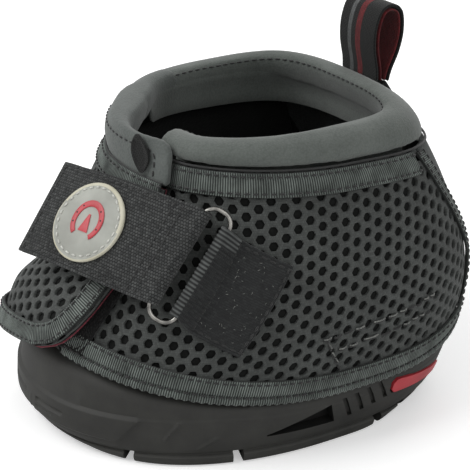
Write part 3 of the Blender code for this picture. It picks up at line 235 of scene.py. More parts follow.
def over_skin(angle, height, out):
    """Points at a distance out from the skin."""
    return skin(angle, height) + outward(angle, height) * np.asarray(out, float)[..., None]


def hem(angle):
    """Height of the upper's lower edge."""
    ahead = np.cos(np.radians(angle))
    toe = (HEM_TOE - HEM_SIDE) * np.clip(ahead, 0.0, 1.0) ** 2
    heel = (HEM_HEEL - HEM_SIDE) * np.clip(-ahead, 0.0, 1.0) ** 2
    return HEM_SIDE + toe + heel


def seam(angle):
    """Height of the seam under the collar."""
    return SEAM_HEEL + (SEAM_TOE - SEAM_HEEL) * (1.0 + np.cos(np.radians(angle))) / 2.0


def rim(angle):
    """Height of the collar's crest."""
    return RIM_HEEL + (RIM_TOE - RIM_HEEL) * (1.0 + np.cos(np.radians(angle))) / 2.0


def tuck(height):
    """How far the upper's left front draws in under the collar."""
    low, high = FLAP_TUCK_LEVELS
    return FLAP_TUCK * smooth_step((np.asarray(height, float) - low) / (high - low))


def dip(angle, height):
    """The inner panel's fall under the flap, and the left side's under the collar."""
    low, high = DIP_LEVELS
    angle = (np.asarray(angle, float) + 180.0) % 360.0 - 180.0
    height = np.asarray(height, float)
    under = -DIP * smooth_step((DIP_START - angle) / DIP_SPREAD) * smooth_step((height - low) / (high - low))
    beside = smooth_step((angle - FLAP_TUCK_START) / (FLAP_HINGE - FLAP_TUCK_START))
    return np.where(angle > FLAP_HINGE, under, -tuck(height) * beside)


def flap_out(angle, height):
    """How far the flap's outer face stands out from the skin."""
    low, high = FLAP_OUT_LEVELS
    fall = smooth_step((height - low) / (high - low))
    full = FLAP_OUT_LOW + (FLAP_OUT_HIGH - FLAP_OUT_LOW) * fall
    start = FLAP_HINGE + FLAP_RAMP_LATER * fall
    spread = FLAP_RAMP_LOW + (FLAP_RAMP_HIGH - FLAP_RAMP_LOW) * fall
    ramp = smooth_step((angle - start) / spread)
    return FLAP_ROOT_OUT + (full - FLAP_ROOT_OUT) * ramp - tuck(height) * (1.0 - ramp)


def flap_seam(angle):
    """Height of the seam under the flap's padded end."""
    share = (np.asarray(angle, float) - FLAP_HINGE) / (FLAP_COLLAR_END - FLAP_HINGE)
    return FLAP_SEAM_ROOT + (FLAP_SEAM_TIP - FLAP_SEAM_ROOT) * share


def flap_low(angle):
    """Height of the flap's lower edge."""
    return through(FLAP_HEM_ANGLES, FLAP_HEM_HEIGHTS, np.clip(angle, FLAP_HEM_ANGLES[0], FLAP_HEM_ANGLES[-1]))


def across_hinge(angle):
    """A share that eases from the left side's heights to the flap's."""
    return smooth_step((np.asarray(angle, float) + 62.0) / 20.0)


def front_low(angle):
    """Height of the lower edge of the left side and the flap, as one cloth."""
    return hem(angle) + (flap_low(angle) - hem(angle)) * across_hinge(angle)


def front_seam(angle):
    """Height of the upper seam of the left side and the flap, as one cloth."""
    return seam(angle) + (flap_seam(angle) - seam(angle)) * across_hinge(angle)


def front_out(angle, height):
    """How far the left side and the flap stand out, as one cloth."""
    return np.where(np.asarray(angle) > FLAP_HINGE, flap_out(angle, height), dip(angle, height))


def flap_edge(share):
    """Angle of the flap's free edge at a share of its rise."""
    return through(FLAP_EDGE_ROWS, FLAP_EDGE_ANGLES, share)


def underlap(share):
    """Angle of the inner panel's front edge at a share of its rise."""
    return through(UNDERLAP_ROWS, UNDERLAP_ANGLES, share)


def heel_seam(height):
    """Angle of the heel seam at a height."""
    level = np.clip(height, HEEL_SEAM_LEVELS[0], HEEL_SEAM_LEVELS[-1])
    return through(HEEL_SEAM_LEVELS, HEEL_SEAM_ANGLES, level)


def gone_along(points):
    """Distance walked at each point of a line."""
    return np.concatenate([[0.0], np.cumsum(np.linalg.norm(np.diff(points, axis=0), axis=1))])


def even_angles(start, stop, height, count):
    """Angles at even distances along the skin."""
    fine = np.linspace(start, stop, 2000)
    gone = gone_along(skin(fine, height))
    return np.interp(np.linspace(0.0, gone[-1], count), gone, fine)


def run_along(angles, height):
    """Distance walked along the skin at each angle."""
    return gone_along(skin(angles, height))


def all_round(count):
    """Angles all round the boot, evenly spaced along its sole, from a count for one side."""
    half = even_angles(0.0, 180.0, SOLE_LEVEL, count)
    return np.concatenate([half, -half[-2:0:-1]])


def by_rows(values, rows):
    """One value for each column, repeated for its rows."""
    return np.repeat(values[:, None], rows, axis=1)


def unit(shares):
    """A direction of unit length."""
    direction = np.asarray(shares, float)
    return direction / np.linalg.norm(direction)


def link_frame():
    """The link's axes, and the middles of the strap's bar and the band's."""
    along = unit(BAR_DIRECTION_SHARES)
    band = over_skin(*BAND_BAR)
    across = band - over_skin(*STRAP_BAR)
    across = unit(across - along * np.dot(across, along))
    return along, across, np.cross(along, across), band - across * LINK_WIDTH, band


def strap_point(place_along, across, height):
    """A point on the strap: along it, across it, and out from the bar's middle plane."""
    along, _, _, bar, _ = link_frame()
    aim = unit(over_skin(*STRAP_TIP) - bar)
    tail = max(0.0, place_along - STRAP_REACH)
    share = float(smooth_step(place_along / STRAP_REACH))
    wide = unit((1.0 - share) * along + share * unit(STRAP_TWIST_SHARES))
    normal = unit(np.cross(aim, wide))
    lean = math.radians(STRAP_TAIL_BEND) * tail / STRAP_END
    middle = bar + aim * min(place_along, STRAP_REACH)
    middle = middle + tail * (aim * math.cos(lean / 2.0) - normal * math.sin(lean / 2.0))
    aim = aim * math.cos(lean) - normal * math.sin(lean)
    normal = unit(np.cross(aim, wide))
    skew = math.sqrt(1.0 - float(np.dot(wide, aim)) ** 2)
    span = min(max(place_along, 0.0) / STRAP_REACH, 1.0)
    bow = STRAP_BOW * math.sin(math.pi * span) * (0.5 - across / STRAP_WIDTH)
    bow -= STRAP_SINK * float(smooth_step(place_along / STRAP_SINK_REACH))
    return middle + wide * across / skew + normal * (height + bow)


def linear(code):
    """An sRGB hex colour as linear RGBA."""
    parts = [int(code[i : i + 2], 16) / 255.0 for i in (1, 3, 5)]
    return tuple(c / 12.92 if c <= 0.04045 else ((c + 0.055) / 1.055) ** 2.4 for c in parts) + (1.0,)


def add_node(tree, kind, inputs=None, **settings):
    """One node, its inputs given as values or as the sockets that feed them. Its outputs come back."""
    made = tree.nodes.new(kind)
    for name, value in settings.items():
        setattr(made, name, value)
    for name, value in (inputs or {}).items():
        if isinstance(value, bpy.types.NodeSocket):
            tree.links.new(value, made.inputs[name])
        else:
            made.inputs[name].default_value = value
    return made.outputs


def sum_of(tree, operation, *terms):
    """The result of one sum on values or sockets."""
    return add_node(tree, "ShaderNodeMath", dict(enumerate(terms)), operation=operation)[0]


# Finishes.


def new_finish(name, roughness, **sockets):
    """A Principled material and its tree. A socket's name is written with underscores."""
    made = bpy.data.materials.new(name)
    made.use_nodes = True
    shader = made.node_tree.nodes["Principled BSDF"]
    shader.inputs["Roughness"].default_value = roughness
    for label, value in sockets.items():
        shader.inputs[label.replace("_", " ")].default_value = value
    return made, made.node_tree, shader


def colour_between(tree, factor, dark, light, low=0.0, high=1.0):
    """A ramp between two hex colours."""
    output = add_node(tree, "ShaderNodeValToRGB", {"Fac": factor})["Color"]
    for stop, position, code in zip(output.node.color_ramp.elements, (low, high), (dark, light)):
        stop.position = position
        stop.color = linear(code)
    return output


def noise(tree, scale, detail, **more):
    """Noise over the object's own place."""
    place = add_node(tree, "ShaderNodeTexCoord")["Object"]
    return add_node(tree, "ShaderNodeTexNoise", {"Vector": place, "Scale": scale, "Detail": detail, **more})["Fac"]


def dress(tree, shader, colour, height=None, strength=0.0, depth=0.0):
    """Give a shader its colour, and the bump of a height."""
    tree.links.new(colour, shader.inputs["Base Color"])
    if height is not None:
        bump = add_node(tree, "ShaderNodeBump", {"Strength": strength, "Distance": depth, "Height": height})
        tree.links.new(bump["Normal"], shader.inputs["Normal"])


def rub(tree, shader, factor, low, high):
    """Let a factor set the roughness between two values."""
    rough = add_node(tree, "ShaderNodeMapRange", {"Value": factor, "To Min": low, "To Max": high})
    tree.links.new(rough["Result"], shader.inputs["Roughness"])


def moulded_rubber():
    """Moulded rubber: dull, nearly black, paler where dust has settled in its pores and on its edges."""
    made, tree, shader = new_finish("moulded_rubber", 0.62, Specular_IOR_Level=0.35)
    cloud = noise(tree, 60.0, 6.0, Roughness=0.6)
    # The bump is mould pores of about 0.8 mm.
    colour = colour_between(tree, cloud, "#232321", "#373734", 0.30, 0.72)
    dress(tree, shader, colour, noise(tree, 1200.0, 2.0), 0.20, 0.00025)
    rub(tree, shader, cloud, 0.48, 0.74)
    return made


def weave(name, dark, light, pitch, across=1.0, relief=0.00018, gap=0.12, gaps="#161716"):
    """Woven or knitted cloth from a brick pattern on the UV map: raised yarns with dark gaps, uneven in tone."""
    made, tree, shader = new_finish(name, 0.80, Sheen_Weight=0.10, Specular_IOR_Level=0.25)
    pattern = {
        "Vector": add_node(tree, "ShaderNodeTexCoord")["UV"],
        "Scale": 1.0,
        "Brick Width": pitch * across,
        "Row Height": pitch,
        "Mortar Size": pitch * gap,
        "Mortar Smooth": 1.0,
        "Color1": linear(dark),
        "Color2": linear(light),
        "Mortar": linear(gaps),
    }
    yarns = add_node(tree, "ShaderNodeTexBrick", pattern, offset=0.5)
    tone = colour_between(tree, noise(tree, 45.0, 5.0), "#9c9c9c", "#ffffff", 0.25, 0.70)
    # The mix node's inputs 0, 6 and 7 are its factor and its two colours, and its output 2 is the colour.
    worn = {0: 0.6, 6: yarns["Color"], 7: tone}
    worn = add_node(tree, "ShaderNodeMix", worn, data_type="RGBA", blend_type="MULTIPLY")[2]
    dress(tree, shader, worn, sum_of(tree, "SUBTRACT", 1.0, yarns["Fac"]), 0.9, relief)
    return made


def soft_cloth(name, dark, light, grain, sheen=0.25, speckle=0.35, relief=0.00015):
    """Stretch cloth, pile or foam from a grain on the object's own place: matt, with a soft bloom at its edges."""
    made, tree, shader = new_finish(name, 0.90, Sheen_Weight=sheen, Sheen_Roughness=0.5, Specular_IOR_Level=0.20)
    place = add_node(tree, "ShaderNodeTexCoord")["Object"]
    fine = add_node(tree, "ShaderNodeTexVoronoi", {"Vector": place, "Scale": 1.0 / grain}, feature="F1")["Distance"]
    shade = sum_of(tree, "MULTIPLY_ADD", fine, speckle, noise(tree, 38.0, 7.0, Roughness=0.65))
    dress(tree, shader, colour_between(tree, shade, light, dark, 0.38, 0.95), fine, 0.7, relief)
    return made


def ribbed_tape(name, dark, light):
    """Ribbed polyester tape: the ribs are real, with a fine weft; its colour runs dark in the troughs and pale on the
    crests, a painted shade and highlight.
    """
    made, tree, shader = new_finish(name, 0.78, Sheen_Weight=0.12, Specular_IOR_Level=0.30)
    crest = add_node(tree, "ShaderNodeAttribute", attribute_name="crest")["Fac"]
    # Painted shade and highlight: the crest share darkens the troughs and lightens the crests.
    level = sum_of(tree, "MULTIPLY", crest, noise(tree, 140.0, 4.0))
    dress(tree, shader, colour_between(tree, level, dark, light, 0.08, 0.56), noise(tree, 1500.0, 1.0), 0.5, 0.0001)
    return made


def moulded_plastic(name, dark, light, roughness, gloss=0.5):
    """Injection-moulded plastic: even colour with a slight cloud, fine spark texture and a soft gloss."""
    made, tree, shader = new_finish(name, roughness, Specular_IOR_Level=gloss)
    colour = colour_between(tree, noise(tree, 90.0, 4.0), dark, light, 0.3, 0.7)
    dress(tree, shader, colour, noise(tree, 2200.0, 1.0), 0.25, 0.00012)
    return made


def steel_wire():
    """Nickel-plated steel wire: bright, drawn smooth, a little duller where it has rubbed."""
    made, tree, shader = new_finish("nickel_plated_wire", 0.22, Metallic=1.0)
    rubs = noise(tree, 320.0, 5.0)
    dress(tree, shader, colour_between(tree, rubs, "#605f5d", "#9b9994", 0.3, 0.65))
    rub(tree, shader, rubs, 0.14, 0.38)
    return made


def sewing_thread(name, dark, light):
    """Sewing thread: twisted strands, so its tone changes along each stitch."""
    made, tree, shader = new_finish(name, 0.70, Sheen_Weight=0.2)
    dress(tree, shader, colour_between(tree, noise(tree, 1600.0, 1.0), dark, light, 0.35, 0.65))
    return made


RUBBER = moulded_rubber()
PUNCHED = weave("punched_mesh_face", "#4b4e4c", "#5a5d5b", 0.0009, relief=0.00010, gap=0.10, gaps="#3b3d3c")
BACKING = soft_cloth("spacer_backing", "#0c0d0c", "#1a1b1a", 0.0011, sheen=0.05)
STRETCH = soft_cloth("stretch_knit_cover", "#515652", "#6c716d", 0.0008, speckle=0.30)
TONGUE = soft_cloth("stretch_knit_tongue", "#4f5351", "#666b68", 0.0008, speckle=0.30)
# The ribbed tapes' colour runs dark in the rib troughs and pale on the crests: painted shade and highlight.
TAPE = ribbed_tape("ribbed_polyester_tape", "#191c1a", "#7d8580")
FOLD = ribbed_tape("ribbed_band_fold", "#141515", "#5c5f5e")
LINER = soft_cloth("brushed_liner", "#0a0b0a", "#1b1d1c", 0.0012, sheen=0.10)
PILE = soft_cloth("loop_pile", "#060606", "#232423", 0.0010, sheen=0.15, relief=0.0005, speckle=0.6)
FOAM = soft_cloth("cut_foam", "#3c3d3c", "#555654", 0.0014, sheen=0.05, relief=0.0003)
REAR = weave("coated_canvas", "#434745", "#555957", 0.0010, relief=0.00012, gap=0.14, gaps="#2b2d2c")
WEBBING = weave("basket_webbing", "#323434", "#585a59", 0.0012, relief=0.00040, gap=0.22, gaps="#0e0f0f")
BAND = weave("hook_band", "#252627", "#343636", 0.0009, across=2.0, relief=0.00022, gap=0.20, gaps="#161717")
RIBBON = weave("black_ribbon", "#0a0b0a", "#131413", 0.0009, across=1.6, relief=0.00014, gap=0.14, gaps="#0d0d0d")
RED_RIBBON = weave("red_ribbon", "#5c1a1e", "#742629", 0.0009, across=1.6, relief=0.00014, gap=0.12, gaps="#380e10")
RED_KNIT = weave("red_lining_knit", "#842f3e", "#9c4452", 0.0011, relief=0.00014, gap=0.12, gaps="#571d28")
RED_PLASTIC = moulded_plastic("red_polyurethane", "#a92a33", "#c23b44", 0.42)
PATCH_FACE = moulded_plastic("grey_moulded_patch", "#9b9c95", "#b4b6ae", 0.55, gloss=0.3)
PATCH_EDGE = moulded_plastic("cream_patch_edge", "#c3bfa9", "#d5d2c0", 0.60, gloss=0.3)
WIRE = steel_wire()
# Painted shade: a near-black rubber, darker than the sole's own, for the shade inside the sunk wedge.
RECESS_SHADE_RUBBER = moulded_plastic("recess_painted_shade_rubber", "#0d0d0c", "#161615", 0.70, gloss=0.2)
STIFFENER = moulded_plastic("heel_stiffener_sheet", "#1f1f1e", "#2a2a29", 0.55)
DARK_THREAD = sewing_thread("dark_thread", "#060706", "#131413")
GREY_THREAD = sewing_thread("grey_thread", "#2b2d2d", "#4d4f4f")
PALE_THREAD = sewing_thread("pale_thread", "#b9bab2", "#dedfd8")
LINT = sewing_thread("settled_lint", "#4e504e", "#858782")

# Making meshes.


def placed(name, data):
    """A new object in the scene."""
    made = bpy.data.objects.new(name, data)
    bpy.context.scene.collection.objects.link(made)
    return made


def numbers(values):
    """Values in one row, as a mesh takes them."""
    return np.ravel(values).astype(np.float32)


def add_piece(name, points, faces, finish, uv=None, **attributes):
    """A mesh object at the origin, with a UV map and number attributes where they are given."""
    mesh = bpy.data.meshes.new(name)
    mesh.from_pydata(np.reshape(points, (-1, 3)).tolist(), [], [tuple(int(i) for i in face) for face in faces])
    mesh.materials.append(finish)
    if uv is not None:
        corner = np.zeros(len(mesh.loops), int)
        mesh.loops.foreach_get("vertex_index", corner)
        mesh.uv_layers.new(name="cloth").data.foreach_set("uv", numbers(uv[corner]))
    for label, values in attributes.items():
        mesh.attributes.new(label, "FLOAT", "POINT").data.foreach_set("value", numbers(values))
    mesh.shade_smooth()
    mesh.set_sharp_from_angle(angle=SHARP)
    return placed(name, mesh)


def settle(made, body, slot_name, *nodes):
    """The piece rides on its body, or stays fixed in place on no body where it spans the flap's hinge, and stands for
    its CAD nodes.
    """
    if body == "hinge":
        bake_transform(made)
    else:
        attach(made, body)
    if nodes:
        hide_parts(*nodes)
    return made


def plain_mesh(made):
    """An object's modifiers turned into its mesh."""
    bpy.context.view_layer.update()
    graph = bpy.context.evaluated_depsgraph_get()
    mesh = bpy.data.meshes.new_from_object(made.evaluated_get(graph), preserve_all_data_layers=True, depsgraph=graph)
    made.modifiers.clear()
    made.data = mesh
    return made


def altered(made, kind, **settings):
    """The result of a modifier on an object, as a plain mesh."""
    change = made.modifiers.new(kind.lower(), kind)
    for name, value in settings.items():
        setattr(change, name, value)
    return plain_mesh(made)


def run_tree(made, tree, **settings):
    """The result of a node tree on an object, as a plain smooth mesh."""
    change = made.modifiers.new(tree.name, "NODES")
    change.node_group = tree
    for item in tree.interface.items_tree:
        if item.in_out == "INPUT" and item.name in settings:
            change[item.identifier] = settings[item.name]
    plain_mesh(made)
    made.data.shade_smooth()
    return made


def flip_out(made):
    """Point a closed mesh's faces outwards."""
    work = bmesh.new()
    work.from_mesh(made.data)
    bmesh.ops.recalc_face_normals(work, faces=work.faces)
    work.to_mesh(made.data)
    work.free()
    return made


def new_tree(name, **inputs):
    """An empty geometry tree with named inputs, and its input sockets."""
    kinds = {float: "NodeSocketFloat", int: "NodeSocketInt"}
    tree = bpy.data.node_groups.new(name, "GeometryNodeTree")
    for side in ("INPUT", "OUTPUT"):
        tree.interface.new_socket("Geometry", in_out=side, socket_type="NodeSocketGeometry")
    for label, value in inputs.items():
        kind = kinds.get(type(value), "NodeSocketMaterial")
        socket = tree.interface.new_socket(label, in_out="INPUT", socket_type=kind)
        if type(value) in kinds:
            socket.default_value = value
    return tree, add_node(tree, "NodeGroupInput")


def end_tree(tree, given, shape):
    """Close a tree: real geometry with its finish set."""
    real = add_node(tree, "GeometryNodeRealizeInstances", {"Geometry": shape})["Geometry"]
    painted = add_node(tree, "GeometryNodeSetMaterial", {"Geometry": real, "Material": given["Finish"]})
    add_node(tree, "NodeGroupOutput", {"Geometry": painted["Geometry"]})
    return tree


def shifted(tree, shape, offset):
    """Geometry moved by an offset."""
    return add_node(tree, "GeometryNodeSetPosition", {"Geometry": shape, "Offset": offset})["Geometry"]


def lattice_tree():
    """Repeats one punched tile over a grid whose every other column is shifted by half a pitch."""
    tree, given = new_tree("punched_lattice", Columns=11, Rows=11, Pitch=PUNCH_PITCH, Finish=None)
    columns, rows, pitch = given["Columns"], given["Rows"], given["Pitch"]
    step = sum_of(tree, "MULTIPLY", pitch, math.cos(math.radians(30.0)))
    wide, high = (
        sum_of(tree, "MULTIPLY", sum_of(tree, "SUBTRACT", count, 1.0), space)
        for count, space in ((columns, step), (rows, pitch))
    )
    grid = {"Size X": wide, "Size Y": high, "Vertices X": columns, "Vertices Y": rows}
    grid = add_node(tree, "GeometryNodeMeshGrid", grid)["Mesh"]
    across = add_node(tree, "ShaderNodeSeparateXYZ", {"Vector": add_node(tree, "GeometryNodeInputPosition")[0]})["X"]
    column = sum_of(tree, "ROUND", sum_of(tree, "DIVIDE", across, step))
    odd = sum_of(tree, "PINGPONG", column, 1.0)
    shift = sum_of(tree, "MULTIPLY", odd, sum_of(tree, "MULTIPLY", pitch, 0.5))
    spots = shifted(tree, grid, add_node(tree, "ShaderNodeCombineXYZ", {"Y": shift})["Vector"])
    tiles = add_node(tree, "GeometryNodeInstanceOnPoints", {"Points": spots, "Instance": given["Geometry"]})
    return end_tree(tree, given, tiles["Instances"])


def rib_tree():
    """Raises ribs across a tape, along its normals, from its own run and lift attributes."""
    tree, given = new_tree("raised_ribs", Pitch=RIB_PITCH, Rise=RIB_RISE, Finish=None)
    run, lift = (
        add_node(tree, "GeometryNodeInputNamedAttribute", {"Name": name}, data_type="FLOAT")["Attribute"]
        for name in ("run", "lift")
    )
    turns = sum_of(tree, "MULTIPLY", sum_of(tree, "DIVIDE", run, given["Pitch"]), 2.0 * math.pi)
    crest = sum_of(tree, "MULTIPLY", sum_of(tree, "MULTIPLY_ADD", sum_of(tree, "SINE", turns), 0.5, 0.5), lift)
    # The crest share is kept for the tape's finish, which paints troughs dark and crests pale: painted shade and
    # highlight.
    kept = {"Geometry": given["Geometry"], "Name": "crest", "Value": crest}
    kept = add_node(tree, "GeometryNodeStoreNamedAttribute", kept, data_type="FLOAT", domain="POINT")["Geometry"]
    normal = add_node(tree, "GeometryNodeInputNormal")["Normal"]
    height = sum_of(tree, "MULTIPLY", crest, given["Rise"])
    offset = add_node(tree, "ShaderNodeVectorMath", {"Vector": normal, "Scale": height}, operation="SCALE")["Vector"]
    return end_tree(tree, given, shifted(tree, kept, offset))


def stitch_tree():
    """Lays one stitch after another along a line."""
    tree, given = new_tree("stitch_row", Pitch=STITCH_PITCH, Length=STITCH_LENGTH, Radius=STITCH_RADIUS, Finish=None)
    line = add_node(tree, "GeometryNodeMeshToCurve", {"Mesh": given["Geometry"]})["Curve"]
    even = {"Curve": line, "Length": given["Pitch"]}
    even = add_node(tree, "GeometryNodeResampleCurve", even, mode="LENGTH")["Curve"]
    bead = add_node(tree, "GeometryNodeMeshUVSphere", {"Segments": 6, "Rings": 4, "Radius": 1.0})["Mesh"]
    half = sum_of(tree, "MULTIPLY", given["Length"], 0.5)
    size = {"X": given["Radius"], "Y": given["Radius"], "Z": half}
    size = add_node(tree, "ShaderNodeCombineXYZ", size)["Vector"]
    stitch = add_node(tree, "GeometryNodeTransform", {"Geometry": bead, "Scale": size})["Geometry"]
    tangent = add_node(tree, "GeometryNodeInputTangent")["Tangent"]
    turn = add_node(tree, "FunctionNodeAlignRotationToVector", {"Vector": tangent}, axis="Z")["Rotation"]
    laid = add_node(tree, "GeometryNodeInstanceOnPoints", {"Points": even, "Instance": stitch, "Rotation": turn})
    return end_tree(tree, given, laid["Instances"])


def cord_tree():
    """Sweeps a round cord along lines."""
    tree, given = new_tree("swept_cord", Radius=STITCH_RADIUS, Finish=None)
    line = add_node(tree, "GeometryNodeMeshToCurve", {"Mesh": given["Geometry"]})["Curve"]
    ring = add_node(tree, "GeometryNodeCurvePrimitiveCircle", {"Resolution": 8, "Radius": given["Radius"]})["Curve"]
    swept = {"Curve": line, "Profile Curve": ring, "Fill Caps": True}
    return end_tree(tree, given, add_node(tree, "GeometryNodeCurveToMesh", swept)["Mesh"])


LATTICE = lattice_tree()
RIBS = rib_tree()
STITCHES = stitch_tree()
CORD = cord_tree()


def add_lines(name, lines, closed=False):
    """A mesh of lines, each a run of points."""
    points, edges = [], []
    for line in lines:
        first = len(points)
        points += [tuple(spot) for spot in line]
        edges += [(i, i + 1) for i in range(first, len(points) - 1)]
        if closed:
            edges.append((len(points) - 1, first))
    mesh = bpy.data.meshes.new(name)
    mesh.from_pydata(points, edges, [])
    return placed(name, mesh)


def stitch_rows(name, lines, finish, body, slot_name, closed=False, **sizes):
    """Rows of stitches along lines."""
    made = run_tree(add_lines(name, lines, closed), STITCHES, Finish=finish, **sizes)
    return settle(made, body, slot_name)


def cord(name, lines, radius, finish, body, slot_name, *nodes, closed=False):
    """Round cord, wire or thread along lines."""
    made = run_tree(add_lines(name, lines, closed), CORD, Radius=radius, Finish=finish)
    return settle(made, body, slot_name, *nodes)


def edge_shares(count, soft=0.3):
    """Even shares from 0 to 1 with one more close to each end."""
    even = np.linspace(0.0, 1.0, count)
    step = even[1] * soft
    return np.concatenate([[0.0, step], even[1:-1], [1.0 - step, 1.0]])


def walked(points, axis):
    """Distance walked along one axis of a grid of points."""
    steps = np.linalg.norm(np.diff(points, axis=axis), axis=-1)
    start = np.zeros_like(np.take(steps, [0], axis=axis))
    return np.cumsum(np.concatenate([start, steps], axis=axis), axis=axis)


def moved_aside(line, distance):
    """A flat line of points moved square to itself."""
    along = np.gradient(line, axis=0)
    side = np.stack([along[:, 1], -along[:, 0]], 1)
    return line + side / np.linalg.norm(side, axis=1, keepdims=True) * distance


def grid_normals(points):
    """Normals of a grid of points: along its columns across its rows."""
    normal = np.cross(np.gradient(points, axis=0), np.gradient(points, axis=1))
    return normal / np.maximum(np.linalg.norm(normal, axis=-1, keepdims=True), 1e-12)


def closed_sheet(name, outer, ways, thickness, finish, soft=0.3):
    """A closed layer: its outer face, the face under it and a soft edge between them."""
    columns, rows = outer.shape[:2]
    ease = np.zeros((columns, rows))
    ease[[0, -1]] = ease[:, [0, -1]] = thickness * soft
    top = outer - ways * ease[..., None]
    under = outer - ways * (thickness - ease)[..., None]
    count = columns * rows
    index = np.arange(count).reshape(columns, rows)
    quads = np.stack([index[:-1, :-1], index[1:, :-1], index[1:, 1:], index[:-1, 1:]], -1).reshape(-1, 4)
    edge = np.concatenate([index[:, 0], index[-1, 1:], index[-2::-1, -1], index[0, -2:0:-1]])
    beside = np.roll(edge, -1)
    sides = np.stack([beside, edge, edge + count, beside + count], -1)
    faces = np.concatenate([quads, quads[:, ::-1] + count, sides])
    along = walked(outer, 0)
    uv = np.stack([along - along[columns // 2], walked(outer, 1)], -1).reshape(-1, 2)
    run = by_rows(along[:, rows // 2], rows)
    lift = np.where(ease > 0, 0.0, 1.0)
    points = np.stack([top, under])
    return add_piece(name, points, faces, finish, np.tile(uv, (2, 1)), run=[run, run], lift=[lift, 0.0 * lift])


def skin_sheet(name, angles, heights, out, thickness, finish):
    """A closed layer laid over the skin."""
    return closed_sheet(name, over_skin(angles, heights, out), outward(angles, heights), thickness, finish)


def patch(start, stop, low, high, columns, rows):
    """Angles and heights over a four-sided patch of the skin, whose ends may change with the row."""
    shares = edge_shares(rows)
    across = edge_shares(columns)
    angles = np.zeros((len(across), len(shares)))
    heights = np.zeros_like(angles)
    for row, share in enumerate(shares):
        level = float(low(90.0) + (high(90.0) - low(90.0)) * share)
        even = even_angles(float(start(share)), float(stop(share)), level, 120)
        angles[:, row] = np.interp(across, np.linspace(0.0, 1.0, 120), even)
        bottom = low(angles[:, row])
        heights[:, row] = bottom + (high(angles[:, row]) - bottom) * share
    return angles, heights


def heel_seam_at(share):
    """Angle of the heel seam at a share of the panels' rise."""
    angle = HEEL_SEAM_ANGLES[0] + 0.0 * np.asarray(share)
    for _ in range(4):
        angle = heel_seam(hem(angle) + (seam(angle) - hem(angle)) * share)
    return angle


def punched_tile():
    """One six-sided tile of punched cloth: rings from its top edge down its rounded six-sided hole and back."""
    step = np.arange(12)
    around = np.radians(step * 30.0)
    reach = np.where(step % 2 == 0, 1.0, math.cos(math.radians(30.0))) * PUNCH_PITCH / math.sqrt(3.0)
    hole = np.where(step % 2 == 0, 1.0, PUNCH_FLAT) * PUNCH_RADIUS
    soft = PUNCH_RADIUS * 0.10
    rings = ((reach, 0.0), (hole + soft, 0.0), (hole, -soft), (hole, -PUNCH_DEPTH), (reach, -PUNCH_DEPTH))
    points = [np.stack([r * np.cos(around), r * np.sin(around), 0.0 * r + height], 1) for r, height in rings]
    quads = np.stack([step, np.roll(step, -1), np.roll(step, -1) + 12, step + 12], 1)
    return np.concatenate(points), (quads + 12 * np.arange(len(rings) - 1)[:, None, None]).reshape(-1, 4)


def on_skin(across, up, middle_angle, middle_height):
    """Angles and heights of flat places laid on the skin: across at each height, and up its slope."""
    levels = np.linspace(0.015, 0.124, 56)
    slope = run_along(middle_angle, levels)
    start = np.interp(middle_height, levels, slope)
    heights = np.interp(start + up, slope, levels)
    fine = np.linspace(middle_angle - 150.0, middle_angle + 150.0, 1501)
    cell = np.clip(np.searchsorted(levels, heights) - 1, 0, len(levels) - 2)
    share = (heights - levels[cell]) / (levels[cell + 1] - levels[cell])
    angles = np.zeros_like(heights)
    tables = [run_along(fine, level) for level in levels]
    tables = [table - table[len(fine) // 2] for table in tables]
    for number in np.unique(cell):
        here = cell == number
        low = np.interp(across[here], tables[number], fine)
        high = np.interp(across[here], tables[number + 1], fine)
        angles[here] = low + (high - low) * share[here]
    return angles, heights


def punched_face(name, ends, levels, out, middle, counts, body, *nodes):
    """Punched cloth over a patch of the skin, its outline cut clean through the holes it crosses."""
    points, faces = punched_tile()
    size = len(points)
    made = run_tree(add_piece(name, points, faces, PUNCHED), LATTICE, Columns=counts[0], Rows=counts[1], Finish=PUNCHED)
    flat = np.zeros(len(made.data.vertices) * 3)
    made.data.vertices.foreach_get("co", flat)
    bpy.data.objects.remove(made)
    flat = flat.reshape(-1, size, 3)
    centres = flat[:, :12].mean(axis=1)
    start, stop = ends
    low, high = levels

    def trimmed(across, up):
        angles, heights = on_skin(across.ravel(), up.ravel(), *middle)
        rise = high(angles) - low(angles)
        share = np.clip((heights - low(angles)) / rise, 0.0, 1.0)
        inside = np.clip(angles, start(share), stop(share))
        return angles, heights, inside, np.clip(heights, low(inside), high(inside))

    def key(spot):
        return tuple(np.round(spot[:2] / PUNCH_PITCH * 4.0).astype(int))

    angles, heights, inside, kept = trimmed(centres[:, 0], centres[:, 1])
    wanted = np.linalg.norm(skin(angles, heights) - skin(inside, kept), axis=1) < PUNCH_PITCH * 0.40
    flat, centres = flat[wanted], centres[wanted]
    neighbours = {key(spot) for spot in centres}
    quads = (np.arange(len(flat))[:, None, None] * size + faces).reshape(-1, 4)
    sides = []
    for number, centre in enumerate(centres):
        for side in range(6):
            turn = math.radians(30.0 + 60.0 * side)
            if key(centre[:2] + PUNCH_PITCH * np.array([math.cos(turn), math.sin(turn)])) in neighbours:
                continue
            for step in (2 * side, 2 * side + 1):
                after = (step + 1) % 12
                sides.append(number * size + np.array((after, step, size - 12 + step, size - 12 + after)))
    _, _, angles, heights = trimmed(flat[..., 0], flat[..., 1])
    spots = over_skin(angles, heights, out(angles, heights) + flat[..., 2].ravel())
    faces = np.concatenate([quads, np.array(sides, int).reshape(-1, 4)])
    made = add_piece(name, spots, faces, PUNCHED, flat[..., :2].reshape(-1, 2))
    work = bmesh.new()
    work.from_mesh(made.data)
    bmesh.ops.remove_doubles(work, verts=work.verts, dist=1e-6)
    bmesh.ops.dissolve_degenerate(work, edges=work.edges, dist=1e-6)
    work.to_mesh(made.data)
    work.free()
    made.data.set_sharp_from_angle(angle=SHARP)
    return settle(made, body, "mesh_cloth", *nodes)


